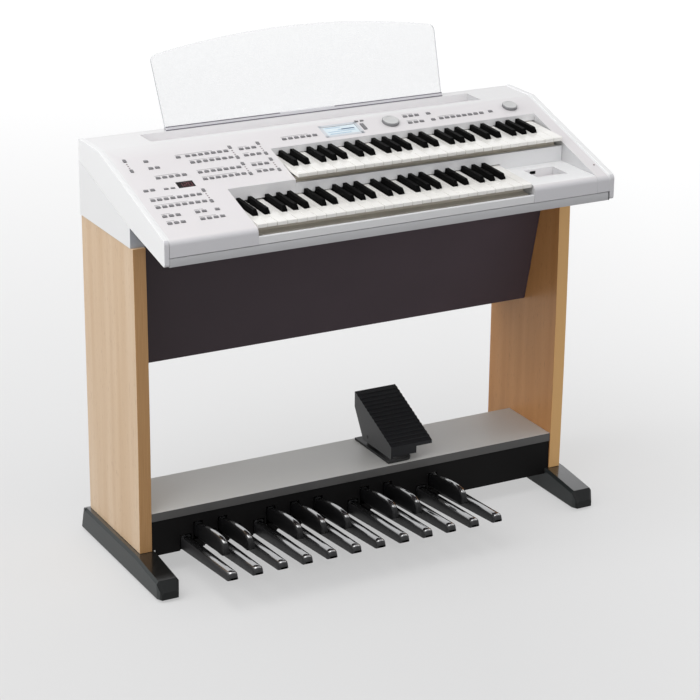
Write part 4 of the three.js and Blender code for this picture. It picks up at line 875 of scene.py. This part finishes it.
# %% A geometry tree with named sizes
class Repeat(Tree):
    socket_kinds = {float: "NodeSocketFloat", int: "NodeSocketInt", tuple: "NodeSocketVector"}

    def __init__(self, name, sizes):
        super().__init__(bpy.data.node_groups.new(name, "GeometryNodeTree"))
        face = self.tree.interface
        face.new_socket("Points", in_out="INPUT", socket_type="NodeSocketGeometry")
        self.ids = {}
        for size, value in sizes.items():
            socket = face.new_socket(size, in_out="INPUT", socket_type=self.socket_kinds[type(value)])
            socket.default_value = value
            self.ids[size] = socket.identifier
        face.new_socket("Geometry", in_out="OUTPUT", socket_type="NodeSocketGeometry")
        self.entry = self.tree.nodes.new("NodeGroupInput")
        self.exit = self.tree.nodes.new("NodeGroupOutput")

    def size(self, name):
        return Amount(self, self.entry.outputs[name])

    def end(self, copies, material):
        real = self.node("GeometryNodeRealizeInstances", None, {0: copies})
        dressed = self.node("GeometryNodeSetMaterial", None, {"Geometry": real, "Material": material})
        self.tree.links.new(dressed.socket, self.exit.inputs[0])


def grow(name, repeat, sizes, points, spans=None, body="console", turn=panel_matrix):
    seeds = bpy.data.meshes.new(name)
    seeds.from_pydata(points, [], [])
    if spans:
        spans_read = seeds.attributes.new("span", "FLOAT_VECTOR", "POINT")
        for entry, span in zip(spans_read.data, spans):
            entry.vector = span
    maker = placed(name, seeds)
    modifier = maker.modifiers.new("repeat", "NODES")
    modifier.node_group = repeat.tree
    for size, value in sizes.items():
        modifier[repeat.ids[size]] = value
    bpy.context.view_layer.update()
    mesh = bpy.data.meshes.new_from_object(maker.evaluated_get(bpy.context.evaluated_depsgraph_get()))
    maker.modifiers.clear()
    maker.data = mesh
    mesh.transform(turn)
    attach(maker, body)


# %% Flat marks: a thin box on each point, as large as the point says
def flat_marks(name, material):
    marks = Repeat(name, {"Thickness": 0.0002})
    span = marks.node("GeometryNodeInputNamedAttribute", {"data_type": "FLOAT_VECTOR"}, {"Name": "span"})
    thick = marks.node("ShaderNodeCombineXYZ", None, {"Z": marks.size("Thickness")})
    copies = marks.node("GeometryNodeInstanceOnPoints", None,
                        {"Points": marks.size("Points"), "Instance": marks.node("GeometryNodeMeshCube"),
                         "Scale": marks.vector("ADD", span, thick)})
    marks.end(copies, material)
    return marks


# %% Round fittings: a small cylinder with a narrower top on each point
def round_fittings(name, material, sides):
    fittings = Repeat(name, {"Radius": 0.001, "Height": 0.0006, "Waist": 0.8})
    head = fittings.node("GeometryNodeMeshCone", None,
                         {"Vertices": sides, "Radius Top": fittings.size("Radius") * fittings.size("Waist"),
                          "Radius Bottom": fittings.size("Radius"), "Depth": fittings.size("Height")})
    copies = fittings.node("GeometryNodeInstanceOnPoints", None,
                           {"Points": fittings.size("Points"), "Instance": head})
    fittings.end(copies, material)
    return fittings


# %% [markdown]
# ### Print
# The real panel has a few grey words over each row. Here every word is a bare dash, so that the
# panel reads as printed and yet says nothing. The lengths vary, with a fixed seed.

# %% Printed dashes over the caps
panel_ink = moulded("panel_ink", srgb(160, 158, 160), 0.6, 0.05, 0.1)
dash_random = random.Random(20)
dash_gap, dash_height = 0.0036, 0.0008
print_marks = flat_marks("print_marks", panel_ink)
dash_points, dash_spans = [], []
for x, y, width, depth in left_caps + upper_caps:
    long = width * dash_random.uniform(0.55, 0.95)
    dash_points.append((x - (width - long) / 2, y + depth / 2 + dash_gap, 0))
    dash_spans.append((long, dash_height, 0))
grow("cap_print", print_marks, {"Thickness": 0.0003}, dash_points, dash_spans)
print(len(dash_points), "dashes")


# %% Headings over the rows of caps
def rows_of(caps, widest_gap=0.031):
    lines, rows = {}, []
    for cap in caps:
        if cap[2] > cap[3]:
            lines.setdefault(round(cap[1], 3), []).append(cap)
    for line in lines.values():
        rows.append([])
        for cap in sorted(line):
            if rows[-1] and cap[0] - rows[-1][-1][0] > widest_gap:
                rows.append([])
            rows[-1].append(cap)
    return [row for row in rows if len(row) > 2]


heading_gap, heading_height = 0.0098, 0.0013
heading_points, heading_spans = [], []
for row in rows_of(left_caps) + rows_of(upper_caps):
    left_edge = row[0][0] - row[0][2] / 2
    long = (row[-1][0] - row[0][0]) * dash_random.uniform(0.4, 0.95)
    heading_points.append((left_edge + long / 2, row[0][1] + heading_gap, 0))
    heading_spans.append((long, heading_height, 0))
grow("row_headings", print_marks, {"Thickness": 0.0003}, heading_points, heading_spans)
print(len(heading_points), "headings")

# %% [markdown]
# ### Level lamps
# Between the two keys of each volume pair stands a short column of lamps that shows the level.
# A Mesh Line would do, but the columns have different lengths, so the points are counted here.

# %% Columns of lamps between the volume keys
lamp_red = moulded("level_lamps", srgb(120, 104, 106), 0.35, 0.05, 0.1)
volume_keys = sorted((x, y) for x, y, width, depth in left_caps if depth > width)
lamp_step, lamp_margin = 0.0076, 0.0105
lamp_points = []
for (x, low), (next_x, high) in zip(volume_keys[::2], volume_keys[1::2]):
    count = int((high - low - 2 * lamp_margin) / lamp_step) + 1
    for index in range(count):
        lamp_points.append((x, (low + high) / 2 + (index - (count - 1) / 2) * lamp_step, 0.0002))
lamp_boxes = flat_marks("level_lamps", lamp_red)
grow("level_lamps", lamp_boxes, {"Thickness": 0.0006}, lamp_points,
     [(0.0032, 0.0024, 0)] * len(lamp_points))
print(len(lamp_points), "lamps in", len(volume_keys) // 2, "columns")

# %% [markdown]
# ### The two displays
# The red window shows a number in seven-segment digits, and the pale one shows lines of generic
# marks. A digit is seven bars, and a table says which of them are lit.

# %% Digits behind the red window
digit_glow = Finish("digit_glow", 0.4)
digit_glow.coloured(digit_glow.clouds(300.0), tone(70, 22, 30), tone(88, 30, 38))
digit_glow.fix({"Emission Color": tone(80, 20, 30), "Emission Strength": 0.35})
bars_lit = {"0": "abcdef", "1": "bc", "2": "abged"}
bar_places = {"a": (0, 1), "b": (1, 0.5), "c": (1, -0.5), "d": (0, -1), "e": (-1, -0.5),
              "f": (-1, 0.5), "g": (0, 0)}
digit_half, digit_tall, digit_step, stroke = 0.0036, 0.0068, 0.0112, 0.0017
digit_points, digit_spans = [], []
for index, digit in enumerate("120"):
    middle_x = led_x + (index - 1) * digit_step
    for bar in bars_lit[digit]:
        across, up = bar_places[bar]
        digit_points.append((middle_x + across * digit_half, led_y + up * digit_tall, window_lift))
        digit_spans.append((2 * digit_half, stroke, 0) if across == 0 else (stroke, digit_tall, 0))
digits = flat_marks("digit_bars", digit_glow.material)
grow("led_digits", digits, {"Thickness": 0.0004}, digit_points, digit_spans)
print(len(digit_points), "lit bars")

# %% Marks on the pale screen
screen_ink = Finish("screen_ink", 0.3)
screen_ink.coloured(screen_ink.clouds(200.0), tone(150, 178, 200), tone(166, 192, 212))
screen_rows = [(0.36, 0.5, -0.2), (0.08, 0.46, 0.12), (-0.1, 0.9, 0.0), (-0.34, 0.7, -0.08)]
screen_points, screen_spans = [], []
for up, long, shift in screen_rows:
    screen_points.append((lcd_x + shift * lcd_width, lcd_y + up * lcd_depth, window_lift))
    screen_spans.append((long * lcd_width * 0.92, 0.0022, 0))
screen_marks = flat_marks("screen_marks", screen_ink.material)
grow("lcd_marks", screen_marks, {"Thickness": 0.0003}, screen_points, screen_spans)
line_ink = moulded("line_ink", srgb(70, 96, 128), 0.4, 0.05, 0.1)
grow("lcd_line", flat_marks("lcd_line", line_ink), {"Thickness": 0.0004},
     [(lcd_x + 0.22 * lcd_width, lcd_y + 0.1 * lcd_depth, window_lift)], [(0.4 * lcd_width, 0.0036, 0)])

frame_grey = moulded("screen_frame", srgb(205, 209, 214), 0.4, 0.1, 0.02)
bezel, bezel_gap = 0.0072, 0.0036
frame_marks = flat_marks("screen_frame", frame_grey)
side_x, side_y = lcd_width / 2 + bezel_gap, lcd_depth / 2 + bezel_gap
frame_points = [(lcd_x - side_x, lcd_y, 0), (lcd_x + side_x, lcd_y, 0),
                (lcd_x, lcd_y - side_y, 0), (lcd_x, lcd_y + side_y, 0)]
frame_spans = [(bezel, 2 * side_y + bezel, 0)] * 2 + [(2 * side_x + bezel, bezel, 0)] * 2
grow("lcd_frame", frame_marks, {"Thickness": 0.0006}, frame_points, frame_spans)
print(len(screen_points), "marks on the pale screen")

# %% [markdown]
# ### Dials
# Each dial has a knurled rim, which is a row of thin ribs round its side. The tree turns a rib
# to face outwards at every point of a circle, and the ribs ride on the dial's own body.

# %% Ribs round the dials
def dial_ribs(name, material):
    ribs = Repeat(name, {"Count": 48, "Radius": 0.02, "Rib": (0.0006, 0.0008, 0.005)})
    ring = ribs.node("GeometryNodeMeshCircle", None,
                     {"Vertices": ribs.size("Count"), "Radius": ribs.size("Radius")})
    outward = ribs.node("FunctionNodeAlignRotationToVector", {"axis": "X"},
                        {"Vector": ribs.node("GeometryNodeInputPosition")})
    rib = ribs.node("GeometryNodeMeshCube", None, {"Size": ribs.size("Rib")})
    copies = ribs.node("GeometryNodeInstanceOnPoints", None,
                       {"Points": ring, "Instance": rib, "Rotation": outward})
    ribs.end(copies, material)
    return ribs


rib_tree = dial_ribs("dial_ribs", finishes["dials"])
rib_middle = panel_out * 0.0036
for name, place, radius in (("data_dial", dial_place, 0.0195), ("tempo_dial", tempo_place, 0.0175)):
    sizes = {"Count": 56, "Radius": radius, "Rib": (0.0008, 0.0009, 0.0052)}
    grow(name + "_ribs", rib_tree, sizes, [(0, 0, 0)], body=body_of_node[name],
         turn=Matrix.Translation(place + rib_middle) @ panel_turn.to_4x4())
print("two knurled dials")

# %% [markdown]
# ### Lines on the music rest's rail, a lamp and the band's end
# The rail is pale. A dark line along its foot is painted shadow in the rail's slot, and another, broken in
# the middle, is painted along its top where the plate's lower edge shows dark. They are thin strips that
# lean back with the rail.

# %% Lines on the rail
rest_lean = math.radians(20.5)
rail_foot, rail_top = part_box("music_rest_foot")
rail_high = 0.0095
rail_up = Vector((0, math.sin(rest_lean), math.cos(rest_lean)))
rail_out = Vector((0, -math.cos(rest_lean), math.sin(rest_lean)))
rail_edge = Vector((0, rail_foot.y, rail_top.z - rail_high * rail_up.z))
rail_turn = Matrix((Vector((1, 0, 0)), rail_up, rail_out)).transposed()
rail_matrix = Matrix.Translation(rail_edge) @ rail_turn.to_4x4()
# Painted shadow: the foot line stands for the shade in the slot under the plate.
shade_line_ink = moulded("rail_lines", srgb(108, 104, 114), 0.4, 0.05, 0.1)
rail_lines = flat_marks("rail_lines", shade_line_ink)
rail_half, line_break, line_width = rail_top.x, 0.07, 0.0022
part_long = rail_half - line_break
slot_shadow_line, top_line, part_middle = 0.0012, 0.0084, line_break + part_long / 2
line_points = [(0, slot_shadow_line, 0), (-part_middle, top_line, 0), (part_middle, top_line, 0)]
line_spans = [(2 * rail_half, line_width, 0), (part_long, line_width, 0), (part_long, line_width, 0)]
grow("rest_rail_lines", rail_lines, {"Thickness": 0.0003}, line_points, line_spans,
     "rest_body", rail_matrix)

# %% The power lamp and the painted shade in the gap at the band's end
amber = moulded("power_lamp", srgb(116, 100, 98), 0.3, 0.05, 0.1)
lamp_tree = round_fittings("power_lamp", amber, 20)
lamp_place = (0.534, 0.0403, 0)
grow("power_lamp", lamp_tree, {"Radius": 0.0022, "Height": 0.0012, "Waist": 0.7}, [lamp_place])
band_low, band_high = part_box("front_band")
# Painted shade: a near-black strip stands for the shade in the gap at the band's end.
gap_shade_tree = flat_marks("band_gap", finishes["socket"])
facing_player = Matrix(((1, 0, 0, 0), (0, 0, -1, 0), (0, 1, 0, 0), (0, 0, 0, 1)))
band_centre = Vector((band_high.x - 0.0012, band_low.y, (band_low.z + band_high.z) / 2))
gap_width, gap_height = 0.0018, band_high.z - band_low.z - 0.001
grow("band_gap", gap_shade_tree, {"Thickness": 0.0006}, [(0, 0, 0)], [(gap_width, gap_height, 0)],
     turn=Matrix.Translation(band_centre) @ facing_player)
print("lamp, gap and rail lines")

# %% [markdown]
# ### Screws at the back
# The back boards are held by pan head screws along their edges. The head is a short cone, and the shade in
# its cross recess is painted as two dark bars, which is enough at this size.

# %% Screws along the back boards
def edge_points(low, high, inset, pitch):
    left, right, bottom, top = low.x + inset, high.x - inset, low.z + inset, high.z - inset
    along, up = round((right - left) / pitch), round((top - bottom) / pitch)
    places = [(left + (right - left) * step / along, z) for step in range(along + 1) for z in (bottom, top)]
    places += [(x, bottom + (top - bottom) * step / up) for step in range(1, up) for x in (left, right)]
    return places


facing_back = Matrix(((-1, 0, 0, 0), (0, 0, 1, 0), (0, 1, 0, 0), (0, 0, 0, 1)))
screw_steel = painted("screw_steel", srgb(70, 70, 72), 0.35, 0.8)
screw_tree = round_fittings("screws", screw_steel, 16)
# Painted shade: two dark bars stand for the shade in each cross recess.
recess_tree = flat_marks("screw_recess", finishes["socket"])
head_radius, head_height = 0.0036, 0.0018
for node, pitch in (("speaker_box", 0.17), ("bottom_case", 0.2)):
    low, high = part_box(node)
    screw_points = [(-x, z, head_height / 2) for x, z in edge_points(low, high, 0.016, pitch)]
    recess_points = [(x, z, head_height) for x, z, lift in screw_points for turn in (0, 1)]
    bars = [(0.0034, 0.0007, 0), (0.0007, 0.0034, 0)] * len(screw_points)
    at_back = Matrix.Translation((0, high.y, 0)) @ facing_back
    sizes = {"Radius": head_radius, "Height": head_height, "Waist": 0.6}
    grow(node + "_screws", screw_tree, sizes, screw_points, turn=at_back)
    grow(node + "_recesses", recess_tree, {"Thickness": 0.0004}, recess_points, bars, turn=at_back)
    print(node, len(screw_points), "screws")
